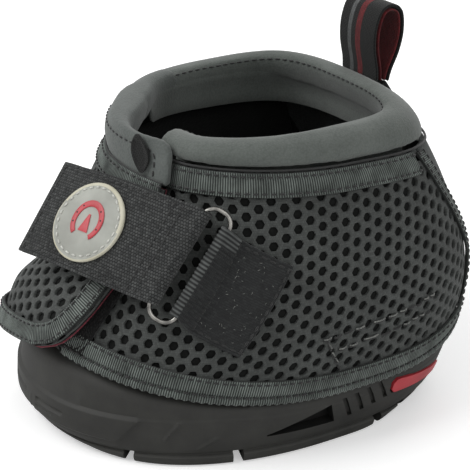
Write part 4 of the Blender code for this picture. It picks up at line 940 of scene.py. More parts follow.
def laid_on(made, line, lift):
    """A line's points moved onto a mesh and lifted off it a little."""
    work = bmesh.new()
    work.from_mesh(made.data)
    tree = BVHTree.FromBMesh(work)
    work.free()
    hits = [tree.find_nearest(Vector(spot)) for spot in line]
    return np.array([spot + normal * lift for spot, normal, _, _ in hits])


def puffed(name, rings, finish, voxel, cap):
    """Padded cloth: a closed form filled out by a short cloth simulation, each point's move capped."""
    made = altered(flip_out(ring_solid(name, rings, finish)), "REMESH", mode="VOXEL", voxel_size=voxel)
    rest = np.zeros(len(made.data.vertices) * 3)
    made.data.vertices.foreach_get("co", rest)
    cloth = made.modifiers.new("cloth", "CLOTH").settings
    cloth.use_pressure = True
    cloth.uniform_pressure_force = 4.0
    cloth.effector_weights.gravity = 0.0
    cloth.quality = 5
    for step in range(1, 21):
        bpy.context.scene.frame_set(step)
    graph = bpy.context.evaluated_depsgraph_get()
    swollen = np.zeros_like(rest)
    made.evaluated_get(graph).data.vertices.foreach_get("co", swollen)
    made.modifiers.clear()
    bpy.context.scene.frame_set(1)
    move = (swollen - rest).reshape(-1, 3)
    length = np.linalg.norm(move, axis=1, keepdims=True)
    move *= np.minimum(1.0, cap / np.maximum(length, 1e-9))
    made.data.vertices.foreach_set("co", numbers(rest + move.ravel()))
    made.data.update()
    altered(made, "SUBSURF", levels=1, render_levels=1)
    made.data.materials.clear()
    made.data.materials.append(finish)
    made.data.shade_smooth()
    return made


# The upper.


def always(value):
    """The same height all round."""
    return lambda angle: value + 0.0 * np.asarray(angle, float)


def upper_panels():
    """The punched side panels and flap over their dark backing, and the plain rear panel."""
    right = (underlap, lambda share: heel_seam_at(share) - 0.45)
    front = (lambda share: -(heel_seam_at(share) - 0.45), flap_edge)
    rear = (lambda share: heel_seam_at(share) + 0.45, lambda share: 359.55 - heel_seam_at(share))
    for name, ends, levels, out, middle, counts, body, nodes in (
        ("right", right, (hem, seam), dip, (75.0, 0.066), (49, 19), "boot", ("right_side_panel",)),
        ("front", front, (front_low, front_seam), front_out, (-45.0, 0.068), (67, 19), "hinge",
         ("left_side_panel", "outer_front_flap")),
    ):
        punched_face(f"{name}_panel_face", ends, levels, out, middle, counts, body, *nodes)
        angles, heights = patch(*ends, *levels, 140, 30)
        under = out(angles, heights) - PUNCH_DEPTH - 0.00005
        backing = skin_sheet(f"{name}_panel_backing", angles, heights, under, FLAP_THICKNESS - PUNCH_DEPTH, BACKING)
        settle(backing, body, "mesh_cloth", *nodes)
    angles, heights = patch(*rear, hem, seam, 60, 28)
    made = skin_sheet("rear_panel_cloth", angles, heights, np.zeros_like(angles), PANEL_THICKNESS, REAR)
    settle(made, "boot", "black_cloth", "rear_panel")


def inner_layers():
    """Liners behind the side panels, the flap's red lining and the pile pad on the underlap."""

    def low(angle):
        return hem(angle) + WALL_LAP + 2 * GAP

    def high(angle):
        return seam(angle) - COLLAR_DROP - 2 * GAP

    right = (lambda share: underlap(share) + 2.0), always(129.5), 70
    left = always(-129.5), always(FLAP_HINGE - 1.5), 60
    for hand, (start, stop, columns) in (("right", right), ("left", left)):
        angles, heights = patch(start, stop, low, high, columns, 24)
        out = dip(angles, heights) - PANEL_THICKNESS - 0.0006
        made = skin_sheet(f"{hand}_liner_cloth", angles, heights, out, LINER_THICKNESS, LINER)
        settle(made, "boot", "black_cloth", f"{hand}_liner")
    ends = always(-35.0), lambda share: flap_edge(share) - 0.5
    angles, heights = patch(*ends, lambda angle: flap_low(angle) - 0.0007, flap_seam, 50, 26)
    out = flap_out(angles, heights) - FLAP_THICKNESS - 1.5 * GAP
    made = skin_sheet("flap_red_lining", angles, heights, out, 0.0009, RED_KNIT)
    settle(made, "flap", "red_cloth", "flap_lining")
    ends = always(2.0), lambda share: 19.5 + 7.0 * share
    angles, heights = patch(*ends, always(0.0405), always(0.0980), 30, 50)
    grain = np.random.default_rng(7).uniform(-0.00022, 0.00022, angles.shape)
    out = dip(angles, heights) + GAP + 0.0013 + grain
    made = skin_sheet("pile_strip", angles, heights, out, 0.0013, PILE)
    settle(made, "boot", "black_cloth", "pile_pad")


def tape(name, angles, heights, out, body, node, thickness=TAPE_THICKNESS):
    """A ribbed binding tape over the skin."""
    made = run_tree(skin_sheet(name, angles, heights, out, thickness, TAPE), RIBS, Finish=TAPE)
    return settle(made, body, "tape_cloth", node)


def ribbed_columns(start, stop, height):
    """Angles four to a rib along the skin."""
    length = run_along(np.linspace(start, stop, 400), height)[-1]
    return even_angles(start, stop, height, int(length / RIB_PITCH * 4.0))


# Places across the hem's and the collar's tapes, and how far the tape rises at each. Stitches lie where it is sunk.
HEM_ROWS = np.array([0.0, 0.0004, 0.0014, 0.0024, 0.0030, 0.0034, 0.0040, 0.0056, 0.0072, 0.0086, 0.0093, 0.0095])
HEM_RISE = np.array([0.0, 0.0001, 0.0004, 0.0002, -0.0004, -0.0004, 0.0, 0.0001, 0.0001, 0.0001, 0.0, -0.0001])
TOP_ROWS = np.array([0.0, 0.0004, 0.0015, 0.0030, 0.0046, 0.0062, 0.0077, 0.0088, 0.0092])
TOP_RISE = np.array([0.0, 0.0, -0.0001, 0.0001, 0.0001, 0.0001, -0.0001, 0.0, 0.0])


def bindings():
    """Tapes round the hem, under the collar and down the heel seams, with their stitching."""
    base = GAP + TAPE_THICKNESS
    heel_low = float(heel_seam(HEEL_SEAM_LEVELS[0])) - 5.6
    heel_high = float(heel_seam(SEAM_HEEL)) - 6.2
    tape_angle = math.degrees(TAPE_WIDTH * 2.0 / (HALF_WIDTH + HEEL_REACH))
    for hand, side, root, top_root in (("right", 1.0, 12.0, COLLAR_START), ("left", -1.0, 39.0, 39.4)):
        body, upper = ("boot", seam) if side > 0 else ("hinge", front_seam)
        hem_line = (lambda angle: hem(angle) + PANEL_THICKNESS / 6.0), HEM_ROWS, HEM_RISE, SCALLOP
        top_line = (lambda angle: upper(angle) - TAPE_WIDTH), TOP_ROWS, TOP_RISE, 0.0
        for label, start, stop, level, (foot, rows, rise, scallop) in (
            ("hem", root, heel_low, HEM_SIDE, hem_line),
            ("collar", top_root, heel_high, SEAM_HEEL, top_line),
        ):
            angles = (side * ribbed_columns(start, stop, level))[:: int(side)]
            grid = by_rows(angles, len(rows))
            wave = np.cos(run_along(angles, level)[:, None] * 2.0 * math.pi / STITCH_PITCH)
            heights = foot(grid) + rows + scallop * wave * (rows < 0.002)
            out = dip(grid, heights) + base + rise - PUCKER * (1.0 + wave) * (rise < 0.0)
            tape(f"{label}_binding_{hand}", grid, heights, out, body, f"{label}_tape_{hand}")
        # The tape runs up the heel, so its columns are its heights.
        levels = np.linspace(HEM_HEEL - 0.0034, SEAM_HEEL - 2 * GAP, 330)
        across = (edge_shares(8) - 0.5)[::-1]
        heights = by_rows(levels, len(across))
        turn = (side * (heel_seam(heights) + across * tape_angle))[:, :: int(side)]
        tape(f"heel_binding_{hand}", turn, heights, np.full_like(turn, base), "boot", f"heel_tape_{hand}")
        fine = side * np.linspace(root + 1.0, heel_low - 0.6, 240)
        above = side * np.linspace(top_root + 1.0, heel_high - 0.6, 240)
        lines = [
            over_skin(angle, level, dip(angle, level) + base + lift + 0.00035)
            for angle, level, lift in (
                (fine, hem(fine) + 0.0037, -0.0001),
                (fine, hem(fine) + 0.0089, 0.0001),
                (above, upper(above) - 0.0085, 0.0),
                (above, upper(above) - 0.0023, 0.0),
            )
        ]
        stitch_rows(f"binding_stitches_{hand}", lines, DARK_THREAD, body, "tape_cloth")
        level = np.linspace(HEM_HEEL, SEAM_HEEL - 0.0015, 160)
        lines = [
            over_skin(side * (heel_seam(level) + share * tape_angle), level, np.full(160, base + 0.0003))
            for share in (-0.36, 0.36)
        ]
        stitch_rows(f"heel_stitches_{hand}", lines, DARK_THREAD, "boot", "tape_cloth")


def mended_seams():
    """Rows of short stitches, some frayed, where the side panel is sewn to the stiffener inside."""
    draw = np.random.default_rng(5)
    dark, frayed = [], []
    rows = (
        ((81.5, 0.0470), (86.5, 0.0350), 5),
        ((81.5, 0.0475), (107.0, 0.0530), 11),
        ((86.0, 0.0425), (106.0, 0.0470), 9),
    )
    for (a0, z0), (a1, z1), count in rows:
        for share in np.linspace(0.0, 1.0, count):
            share = share + 0.34 / (count - 1) * np.linspace(-1.0, 1.0, 5)
            angle = a0 + (a1 - a0) * share
            height = z0 + (z1 - z0) * share + draw.uniform(-0.0004, 0.0004)
            bow = 0.0002 + 0.0007 * np.cos(np.linspace(-1.5, 1.5, 5))
            dark.append(over_skin(angle, height, bow))
            if draw.uniform() < 0.6:
                frayed.append(over_skin(angle, height + 0.0005, bow + 0.0002))
    cord("mended_seam_dark", dark, 0.00045, DARK_THREAD, "boot", "tape_cloth")
    cord("mended_seam_frayed", frayed, 0.0003, LINT, "boot", "tape_cloth")


def nearest_places(points, angles, heights):
    """Angles and heights of the skin's places nearest to points, by a few Newton steps."""
    for _ in range(7):
        here = skin(angles, heights)
        along = (skin(angles + 0.05, heights) - here) / 0.05
        up = (skin(angles, heights + 0.0005) - here) / 0.0005
        off = points - here
        aa, ab, bb = (along * along).sum(-1), (along * up).sum(-1), (up * up).sum(-1)
        pa, pb = (along * off).sum(-1), (up * off).sum(-1)
        whole = aa * bb - ab * ab
        angles = angles + (pa * bb - pb * ab) / whole
        heights = heights + (pb * aa - pa * ab) / whole
    return angles, heights


def flap_rim(count):
    """The flap's lower and free edges as one line of angles and heights."""
    low = np.linspace(FLAP_HINGE + 1.0, FLAP_EDGE_ANGLES[0], 200)
    shares = np.linspace(0.0, 0.88, 300)[1:]
    edge = flap_edge(shares)
    rise = flap_low(edge) + (flap_seam(edge) - flap_low(edge)) * shares
    angles = np.concatenate([low, edge])
    heights = np.concatenate([flap_low(low), rise])
    gone = gone_along(skin(angles, heights))
    even = np.linspace(0.0, gone[-1], count)
    return np.interp(even, gone, angles), np.interp(even, gone, heights)


def flap_rim_grid(count, rows):
    """Places at distances inward from the flap's edge line."""
    angles, heights = flap_rim(count)
    spots = skin(angles, heights)
    smooth = spots.copy()
    for _ in range(count // 12):
        smooth[1:-1] = (smooth[:-2] + smooth[1:-1] * 2.0 + smooth[2:]) / 4.0
    tangent = np.gradient(smooth, axis=0)
    tangent /= np.linalg.norm(tangent, axis=1, keepdims=True)
    inward = np.cross(outward(angles, heights), tangent)
    target = spots[:, None] + inward[:, None] * np.asarray(rows)[None, :, None]
    return nearest_places(target, by_rows(angles, len(rows)), by_rows(heights, len(rows)))


def flap_top(angles):
    """The width of the tape on the flap's upper seam, and the height of its upper edge."""
    width = 0.0100 - 0.0020 * (angles - FLAP_HINGE) / (FLAP_COLLAR_END - FLAP_HINGE)
    return width, flap_seam(angles) + (FOOT_RISE + 0.0006) * smooth_step((angles - FLAP_HINGE) / 12.0)


def flap_trim():
    """Bindings on the flap, with their stitching, and its leaf-shaped patch."""
    rows = (0.0003, 0.0007, 0.0018, 0.0034, 0.0050, 0.0064, 0.0076, 0.0080)
    turn, rise = flap_rim_grid(int(FLAP_RIM_LENGTH / RIB_PITCH * 4.0), rows)
    out = flap_out(turn, rise) + 2 * GAP + TAPE_THICKNESS
    tape("flap_edge_binding", turn, rise, out, "hinge", "flap_binding")
    turn, rise = flap_rim_grid(260, (0.0014, 0.0068))
    spots = over_skin(turn, rise, flap_out(turn, rise) + 2 * GAP + TAPE_THICKNESS + 0.00035)
    stitch_rows("flap_edge_stitches", [spots[:, 0], spots[:, 1]], DARK_THREAD, "hinge", "tape_cloth")
    shares = edge_shares(7)
    grid = by_rows(ribbed_columns(FLAP_HINGE + 0.5, FLAP_EDGE_ANGLES[-1] - 0.5, SEAM_TOE), len(shares))
    width, top = flap_top(grid)
    heights = top - width + (width - GAP) * shares
    out = flap_out(grid, heights) + GAP + FLAP_TAPE + 0.0004
    tape("flap_top_binding", grid, heights, out, "hinge", "flap_collar_tape", FLAP_TAPE)
    angles = np.linspace(FLAP_HINGE + 1.5, FLAP_EDGE_ANGLES[-1] - 1.0, 200)
    width, top = flap_top(angles)
    lines = []
    for share in (0.15, 0.78):
        level = top - width * (1.0 - share)
        lines.append(over_skin(angles, level, flap_out(angles, level) + GAP + FLAP_TAPE + 0.0008))
    stitch_rows("flap_top_stitches", lines, DARK_THREAD, "hinge", "tape_cloth")
    leaf_patch()


def leaf_patch():
    """The small leaf-shaped woven patch, with a raised lip round it."""
    share = edge_shares(26)
    half = np.sin(math.pi * (0.02 + 0.96 * share)) ** 0.85
    rows = edge_shares(12) * 2.0 - 1.0
    angles = 15.8 + 4.3 * rows[:, None] * half[None, :] + 3.5 * (0.5 - share)[None, :]
    heights = np.repeat((0.1085 + 0.0140 * share)[None, :], len(rows), axis=0)
    foot = flap_seam(angles)
    normal = level_outward(angles, foot)
    lean = np.sum((skin(angles, heights) - skin(angles, foot)) * normal, -1)
    edge = np.maximum(np.abs(rows)[:, None], np.abs(2.0 * share - 1.0)[None, :])
    lip = 0.0005 * smooth_step((edge - 0.55) / 0.2)
    points = skin(angles, foot) * LEVEL
    reach = flap_out(angles, foot) + lean + COLLAR_BULGE * 0.35 + GAP + 0.0008 + lip
    points = points + normal * reach[..., None]
    points[..., 2] = heights
    made = closed_sheet("flap_leaf", points, normal, 0.0011, RIBBON)
    settle(made, "flap", "strap_cloth", "flap_leaf_patch")


# The padded collar.


def collar_section(angle, shift, inset=0.0):
    """The collar's outer face at one angle, from the seam up, over and down inside, leaning with the skin."""
    foot = float(seam(angle))
    rise = float(rim(angle)) - foot
    base = skin(angle, foot)
    normal = level_outward(angle, foot)
    knots = np.arange(len(SECTION_OUT_SHARES), dtype=float)
    fine = np.linspace(0.0, knots[-1], 31)
    out = through(knots, SECTION_OUT_SHARES, fine) * COLLAR_BULGE
    up = through(knots, SECTION_UP_SHARES, fine)
    up = np.where(up > 0, rise, COLLAR_DROP) * up
    lean = np.dot(skin(angle, foot + rise) - base, normal)
    out = out + lean * np.clip(up / rise, 0.0, 1.0)
    flat = moved_aside(np.stack([out, up], 1), -inset)
    return base + normal * (flat[:, :1] + shift) + np.array([0.0, 0.0, 1.0]) * flat[:, 1:]


def ring_solid(name, rings, finish):
    """A closed form through a row of closed rings."""
    points = np.array(rings)
    columns, rows = points.shape[:2]
    index = np.arange(columns * rows).reshape(columns, rows)
    beside = np.roll(index, -1, axis=1)
    faces = np.stack([index[:-1], index[1:], beside[1:], beside[:-1]], -1).reshape(-1, 4).tolist()
    return add_piece(name, points, faces + [index[0, ::-1], index[-1]], finish)


def roll_ring(angle):
    """The stuffed roll's closed section at one angle: its outer face, over, down inside and straight back."""
    section = collar_section(angle, float(dip(angle, SEAM_TOE)), 0.0004)
    back = np.linspace(1.0, 0.0, 8)[1:-1, None]
    return np.concatenate([section[:25], section[0] + (section[24] - section[0]) * back]), section


def collar():
    """The padded roll round the top and the skirt that hangs from it inside the liner."""
    angles = even_angles(COLLAR_START, 360.0 + ROLL_JOIN, SEAM_HEEL, 140)
    made = puffed("collar_roll", [roll_ring(angle)[0] for angle in angles], STRETCH, 0.0016, 0.0008)
    settle(made, "boot", "collar_cloth", "collar_cover", "collar_foam")
    line = laid_on(made, [roll_ring(angle)[1][19] for angle in angles[1:]], 0.0001)
    sizes = {"Pitch": 0.0034, "Length": 0.0027}
    stitch_rows("collar_inside_stitches", [line], DARK_THREAD, "boot", "collar_cloth", **sizes)
    angles = even_angles(COLLAR_START, 360.0 + FLAP_HINGE - 1.8, SEAM_HEEL, 150)
    skirt = np.array([roll_ring(angle)[1][22:] for angle in angles])
    fall = smooth_step((angles[-1] - angles) / 18.0 + 0.06)[:, None, None]
    skirt = skirt[:, :1] + (skirt - skirt[:, :1]) * fall
    made = closed_sheet("collar_skirt", skirt, grid_normals(skirt), 0.0018, STRETCH)
    settle(made, "boot", "collar_cloth", "collar_cover")
    foot = over_skin(angles, seam(angles), dip(angles, seam(angles)) + 0.0007)
    cord("collar_foot_seam", [foot[:-10]], 0.0005, DARK_THREAD, "boot", "collar_cloth")


# The tongue's section from its top edge down inside and back to its foot, as shares of its depth and rise.
TONGUE_INSIDE = (
    (0.25, 1.0), (0.55, 0.99), (0.8, 0.95), (0.94, 0.87), (1.0, 0.76), (1.0, 0.62), (1.0, 0.46), (1.0, 0.3),
    (1.0, 0.14), (0.94, 0.02), (0.8, 0.0), (0.62, 0.0), (0.44, 0.0), (0.27, 0.0), (0.1, 0.0),
)


def tongue_ring(angle):
    """The flap end's closed section at one angle, thinning from a roll to a tongue."""
    ease = float(smooth_step((angle + 22.0) / 34.0))
    deep = 0.0116 + (0.0036 - 0.0116) * ease
    bulge = COLLAR_BULGE * (1.0 - ease)
    foot = float(flap_seam(angle)) + FOOT_RISE * float(smooth_step((angle - FLAP_HINGE) / 12.0))
    rise = float(rim(angle)) - 0.0006 * ease - foot
    corner = np.clip((angle - 21.0) / (FLAP_COLLAR_END + 1.5 - 21.0), 0.0, 1.0)
    rise *= 1.0 - 0.34 * (1.0 - math.sqrt(1.0 - 0.98 * corner**2))
    face = float(front_out(angle, foot))
    base = skin(angle, foot)
    normal = level_outward(angle, foot)
    lean = float(np.dot(skin(angle, foot + rise) - base, normal))
    section = [(face + bulge * math.sin(math.pi * u), u) for u in np.linspace(0.0, 0.98, 16)]
    section += [(face - deep * out, up) for out, up in TONGUE_INSIDE]
    return np.array([base + normal * (out + lean * up) + np.array([0.0, 0.0, rise * up]) for out, up in section])


def front_roll():
    """The collar's end on the flap: a padded roll at its root that thins to a flat stitched tongue."""
    angles = even_angles(ROLL_JOIN - 3.0, FLAP_COLLAR_END + 1.5, SEAM_TOE, 90)
    rings = []
    for angle in angles:
        share = float(across_hinge(angle))
        near = roll_ring(angle)[0] if share < 1.0 else 0.0
        rings.append(near * (1.0 - share) + tongue_ring(angle) * share if share > 0.0 else near)
    made = puffed("front_roll", rings, TONGUE, 0.0013, 0.0007)
    settle(made, "hinge", "collar_cloth", "flap_collar")
    tops = np.array([ring[11] for ring, angle in zip(rings, angles) if -28.0 < angle < 19.5])
    last = [ring for ring, angle in zip(rings, angles) if angle < 22.5][-1]
    line = laid_on(made, np.concatenate([tops, last[[9, 6, 3, 0]]]), 0.0001)
    stitch_rows("tongue_stitches", [line], DARK_THREAD, "hinge", "collar_cloth")
    angles = np.linspace(-68.0, FLAP_COLLAR_END, 120)
    foot = front_seam(angles) + FOOT_RISE * smooth_step((angles - FLAP_HINGE) / 12.0)
    line = over_skin(angles, foot, front_out(angles, foot) + 0.0007)
    cord("tongue_foot_seam", [line], 0.0005, DARK_THREAD, "hinge", "collar_cloth")


def foam_pads():
    """The heel's foam pad, and the insole that the hoof stands on."""
    low, high = 0.0420, 0.0780
    start, stop = 132.0, 228.0
    rows = np.linspace(0.0, 1.0, 12)
    rings = []
    for angle in even_angles(start, stop, 0.060, 40):
        sole = float(hem(angle)) + WALL_LAP + 2 * GAP
        bottom, top = sole + 0.0012, high + (sole - low) - 0.0012
        up = bottom + (max(top, bottom + 0.02) - bottom) * rows
        end = min(1.0, 6.0 * min(angle - start, stop - angle) / (stop - start))
        back = -PANEL_THICKNESS - 2 * GAP - 0.0016
        swell = 0.0034 * np.sqrt(np.sin(np.pi * (0.03 + 0.94 * rows))) * (0.45 + 0.55 * end)
        near = over_skin(angle, up, np.full(12, back - 0.0003))
        rings.append(np.concatenate([near, over_skin(angle, up[::-1], back - 0.0006 - swell)]))
    made = puffed("heel_cushion", rings, FOAM, 0.0016, 0.0006)
    settle(made, "boot", "foam", "heel_pad")
    around = all_round(60)
    inset = PANEL_THICKNESS + WALL_THICKNESS * 2.5 + 2 * GAP + SOLE_TUCK + LINER_THICKNESS
    outline = skin(around, 0.012) - level_outward(around, 0.012) * inset
    centre = outline.mean(axis=0)
    low, high = 0.0124, 0.0184
    layers = ((0.0, low), (0.55, low), (0.93, low), (0.995, low + 0.0012), (1.0, (low + high) / 2.0))
    layers += ((0.995, high - 0.0012), (0.93, high - 0.0002), (0.70, high - 0.0005), (0.35, high), (0.0, high))
    rings = []
    for share, height in layers:
        ring = centre + (outline - centre) * max(share, 0.02)
        ring[:, 2] = height
        rings.append(ring)
    made = puffed("insole_cushion", rings, FOAM, 0.0024, 0.0004)
    settle(made, "boot", "foam", "insole_pad")


# The sole.

# Strips on its side: the angle and height of each end, half the strip's width, and its rise.
SOLE_STRIPS = (
    (0.0, 0.0150, 0.0, 0.0060, 0.0004, 0.00022),
    (50.6, 0.0196, 47.6, 0.0121, 0.0007, 0.0007),
    (60.5, 0.0120, 56.5, 0.0075, 0.0008, 0.0006),
    (3.5, 0.0150, 15.0, 0.0152, 0.0010, -0.0009),
    (3.5, 0.0122, 10.5, 0.0124, 0.0006, -0.0006),
    (-3.5, 0.0150, -15.0, 0.0152, 0.0010, -0.0009),
    (-50.6, 0.0196, -47.6, 0.0121, 0.0007, 0.0007),
    (-60.5, 0.0120, -56.5, 0.0075, 0.0008, 0.0006),
)
TREAD_DEPTH = 0.0055
FLOOR_HEIGHT = 0.0120
GUARD_STEP = 0.0011
# Heights of the bumper band along the sole's foot, and how far it stands out.
BUMPER = ((0.0, -0.0009), (0.0005, -0.0001), (0.0013, 0.0004), (0.0028, 0.0005), (0.0038, 0.0003), (0.0043, -0.0002),
          (0.0046, -0.0010), (0.0051, -0.0011))
WALL_THICKNESS = 0.0036
WALL_LAP = 0.0085
SOLE_TUCK = 0.0008
ROCKER = 0.0120


def sole_relief(angle, height):
    """Raised and sunk mouldings on the sole's side."""
    total = np.zeros_like(height)
    for a0, z0, a1, z1, half, rise in SOLE_STRIPS:
        ax, bx = math.radians(a0) * SOLE_RADIUS, math.radians(a1) * SOLE_RADIUS
        x, dx, dy = np.radians(angle) * SOLE_RADIUS, bx - ax, z1 - z0
        share = np.clip(((x - ax) * dx + (height - z0) * dy) / (dx * dx + dy * dy), 0.0, 1.0)
        gap = np.hypot(x - ax - share * dx, height - z0 - share * dy)
        total += rise * smooth_step(1.0 - (gap - half * 0.4) / half)
    return total


def sole_column(angle):
    """The sole's section at one angle: heights, distances out and ways, with its corners softened."""
    edge = float(hem(angle))
    top = edge + WALL_LAP
    ahead = max(math.cos(math.radians(angle)), 0.0) ** 2
    behind = float(smooth_step((180.0 - abs(angle % 360.0 - 180.0) - 94.0) / 24.0))
    shoulder = 0.0034 + (0.0085 - 0.0034) * ahead
    groove = min(0.0196, edge - shoulder - 2 * GUARD_STEP)
    over = max(groove + 2 * GUARD_STEP, edge - shoulder)
    lap = PANEL_THICKNESS + GAP
    rock = ROCKER * ahead**3 + 0.0065 * behind
    inner = lap + WALL_THICKNESS
    side = np.linspace(TREAD_DEPTH, groove, 28)
    limit = 35.5 + (side - 0.0107) / 0.0077 * 4.0
    guard = GUARD_STEP * smooth_step((limit - abs(angle)) / 0.8 + 0.5) * smooth_step((side - 0.0090) / 0.0012)
    middle = (TREAD_DEPTH + groove) / 2.0
    fill = np.where(side < middle, -SOLE_TUCK * (middle - side) / (middle - TREAD_DEPTH), 0.0)

    def rise(height):
        return rock * np.maximum(0.0, 1.0 - height / 0.0095) ** 2

    out = fill + guard - rise(side) + sole_relief(np.full_like(side, angle), side)
    rows = [(h, o - rise(h), 0) for h, o in BUMPER]
    rows += list(zip(side, out, np.zeros(len(side))))
    step = float(guard[-1])
    rows += [
        (groove + GUARD_STEP * 0.35, step * 0.85 - SOLE_TUCK * 0.1, 0),
        (groove + GUARD_STEP * 0.8, step * 0.3 - SOLE_TUCK * 0.4, 0),
        (groove + GUARD_STEP * 1.3, -SOLE_TUCK / 2.0, 0),
        (over, -SOLE_TUCK / 2.0, 0),
        (over + (edge - over) * 0.35, -SOLE_TUCK / 2.0 - lap * 0.12, 0),
        ((over + edge) / 2.0 + 0.0006, -lap / 2.0, 0),
        (edge - SOLE_TUCK, -lap, 1),
        ((edge + top) / 2.0, -lap, 1),
        (top - 0.0005, -lap, 1),
        (top, -lap - 0.0006, 1),
        (top, -inner + 0.0006, 1),
        (top - 0.0005, -inner, 1),
        ((top + FLOOR_HEIGHT) / 2.0, -inner - SOLE_TUCK, 0),
        (FLOOR_HEIGHT + TREAD_DEPTH / 2.0, -inner - WALL_THICKNESS / 2.0, 0),
        (FLOOR_HEIGHT, -inner - WALL_THICKNESS, 0),
    ]
    return np.array(rows)


def cutter(name, points, faces):
    """A closed cutter."""
    return flip_out(add_piece(name, points, faces, RUBBER))


BOX_FACES = ((0, 1, 3, 2), (4, 6, 7, 5), (0, 4, 5, 1), (2, 3, 7, 6), (0, 2, 6, 4), (1, 5, 7, 3))


def tread_cutters():
    """The channel round the tread's middle pad, the slots between its lugs, and the grooves across its pad."""
    band, channel, overrun = 0.0240, 0.0045, 0.0030
    rings = []
    for angle in all_round(61):
        front = ROCKER * max(math.cos(math.radians(angle)), 0.0) ** 2
        normal = level_outward(angle, TREAD_DEPTH)
        outer = skin(angle, TREAD_DEPTH) * LEVEL - normal * (band + front)
        inner = outer - normal * channel
        low, high = (0, 0, -overrun), (0, 0, TREAD_DEPTH)
        rings.append([outer + low, outer + high, inner + high, inner + low])
    index = np.arange(len(rings) * 4).reshape(-1, 4)
    beside = np.roll(index, -1, axis=0)
    faces = np.stack([index, beside, np.roll(beside, -1, axis=1), np.roll(index, -1, axis=1)], -1).reshape(-1, 4)
    made = [cutter("channel_cutter", rings, faces)]
    length = band + channel + 2 * overrun
    blocks = []
    for side in (1.0, -1.0):
        for angle in (38.0, 67.0, 99.0, 110.0, 140.0):
            normal = level_outward(side * angle, TREAD_DEPTH)
            reach = length + ROCKER * max(math.cos(math.radians(angle)), 0.0) ** 2
            start = skin(side * angle, TREAD_DEPTH) + normal * (2 * overrun)
            across = np.array([-normal[1], normal[0], 0.0]) * 0.0021
            blocks.append((start, start - normal * reach, across, TREAD_DEPTH))
    for place in (-0.0260, 0.0260):
        start = np.array([-(HALF_WIDTH - band), place, 0.0])
        blocks.append((start, start * (-1.0, 1.0, 1.0), np.array([0.0, 0.0020, 0.0]), TREAD_DEPTH / 2.0))
    for number, (start, stop, across, top) in enumerate(blocks):
        edges = [end + way * across for end in (start, stop) for way in (-1.0, 1.0)]
        corners = [(x, y, level) for x, y, _ in edges for level in (-overrun, top)]
        made.append(cutter(f"tread_cutter_{number}", corners, BOX_FACES))
    return made


def insert_outline(side, shrink):
    """The plate's outline on the sole's rear side: angles and heights, taller towards the toe."""
    share = np.linspace(0.0, 1.0, 41)
    rounding = np.minimum(1.0, np.sqrt(np.minimum(share * 16.0, (1.0 - share) * 26.0) + 0.16))
    low = 0.0142 + (0.0118 - 0.0142) * share
    high = 0.0210 + (0.0158 - 0.0210) * share
    half = (high - low) / 2.0 * rounding * (1.0 - shrink)
    angles = even_angles(99.5, 130.0, SOLE_LEVEL, 41)
    centre = angles.mean()
    rows = edge_shares(7) * 2.0 - 1.0
    grid = by_rows(centre + (angles - centre) * (1.0 - shrink / 4.0), len(rows))
    heights = ((low + high) / 2.0 + half * rows[:, None]).T
    return (side * grid)[:: int(side)], heights[:: int(side)]


def skin_block(name, angles, heights, inner, outer, finish):
    """A closed block between two distances out from the skin."""
    ways = outward(angles, heights)
    return closed_sheet(name, skin(angles, heights) + ways * outer, ways, outer - inner, finish, 0.0)


def side_recesses(side):
    """The sunk wedge and the four slanted grooves on one side of the sole: angles, heights, depth and finish."""
    fine = np.linspace(60.0, 140.0, 4001)
    gone = run_along(fine, 0.0160)
    tip, back = np.interp((73.2, 87.7), fine, gone)
    share = np.linspace(0.0, 1.0, 12)
    turn = np.stack([tip + (back + 0.0044 - tip) * share, tip + (back - tip) * share], 1)
    rise = np.stack([0.0101 - 0.0004 * share, 0.0107 + 0.0075 * share], 1)
    # The wedge takes the near-black rubber, a painted shade in its hollow; the grooves keep the sole's rubber.
    sunk = [(turn, rise, -0.0048, RECESS_SHADE_RUBBER)]
    share = np.linspace(0.0, 1.0, 6) + np.zeros((2, 1))
    for number in range(4):
        turn = back + 0.0105 + 0.0056 * (number - share) + 0.0021 * np.array([[0.0], [1.0]])
        sunk.append((turn, 0.0104 + 0.0010 * number + (0.0088 - 0.0003 * number) * share, -0.0015, RUBBER))
    return [
        ((side * np.interp(turn, gone, fine))[:: int(side)], rise[:: int(side)], deep, finish)
        for turn, rise, deep, finish in sunk
    ]


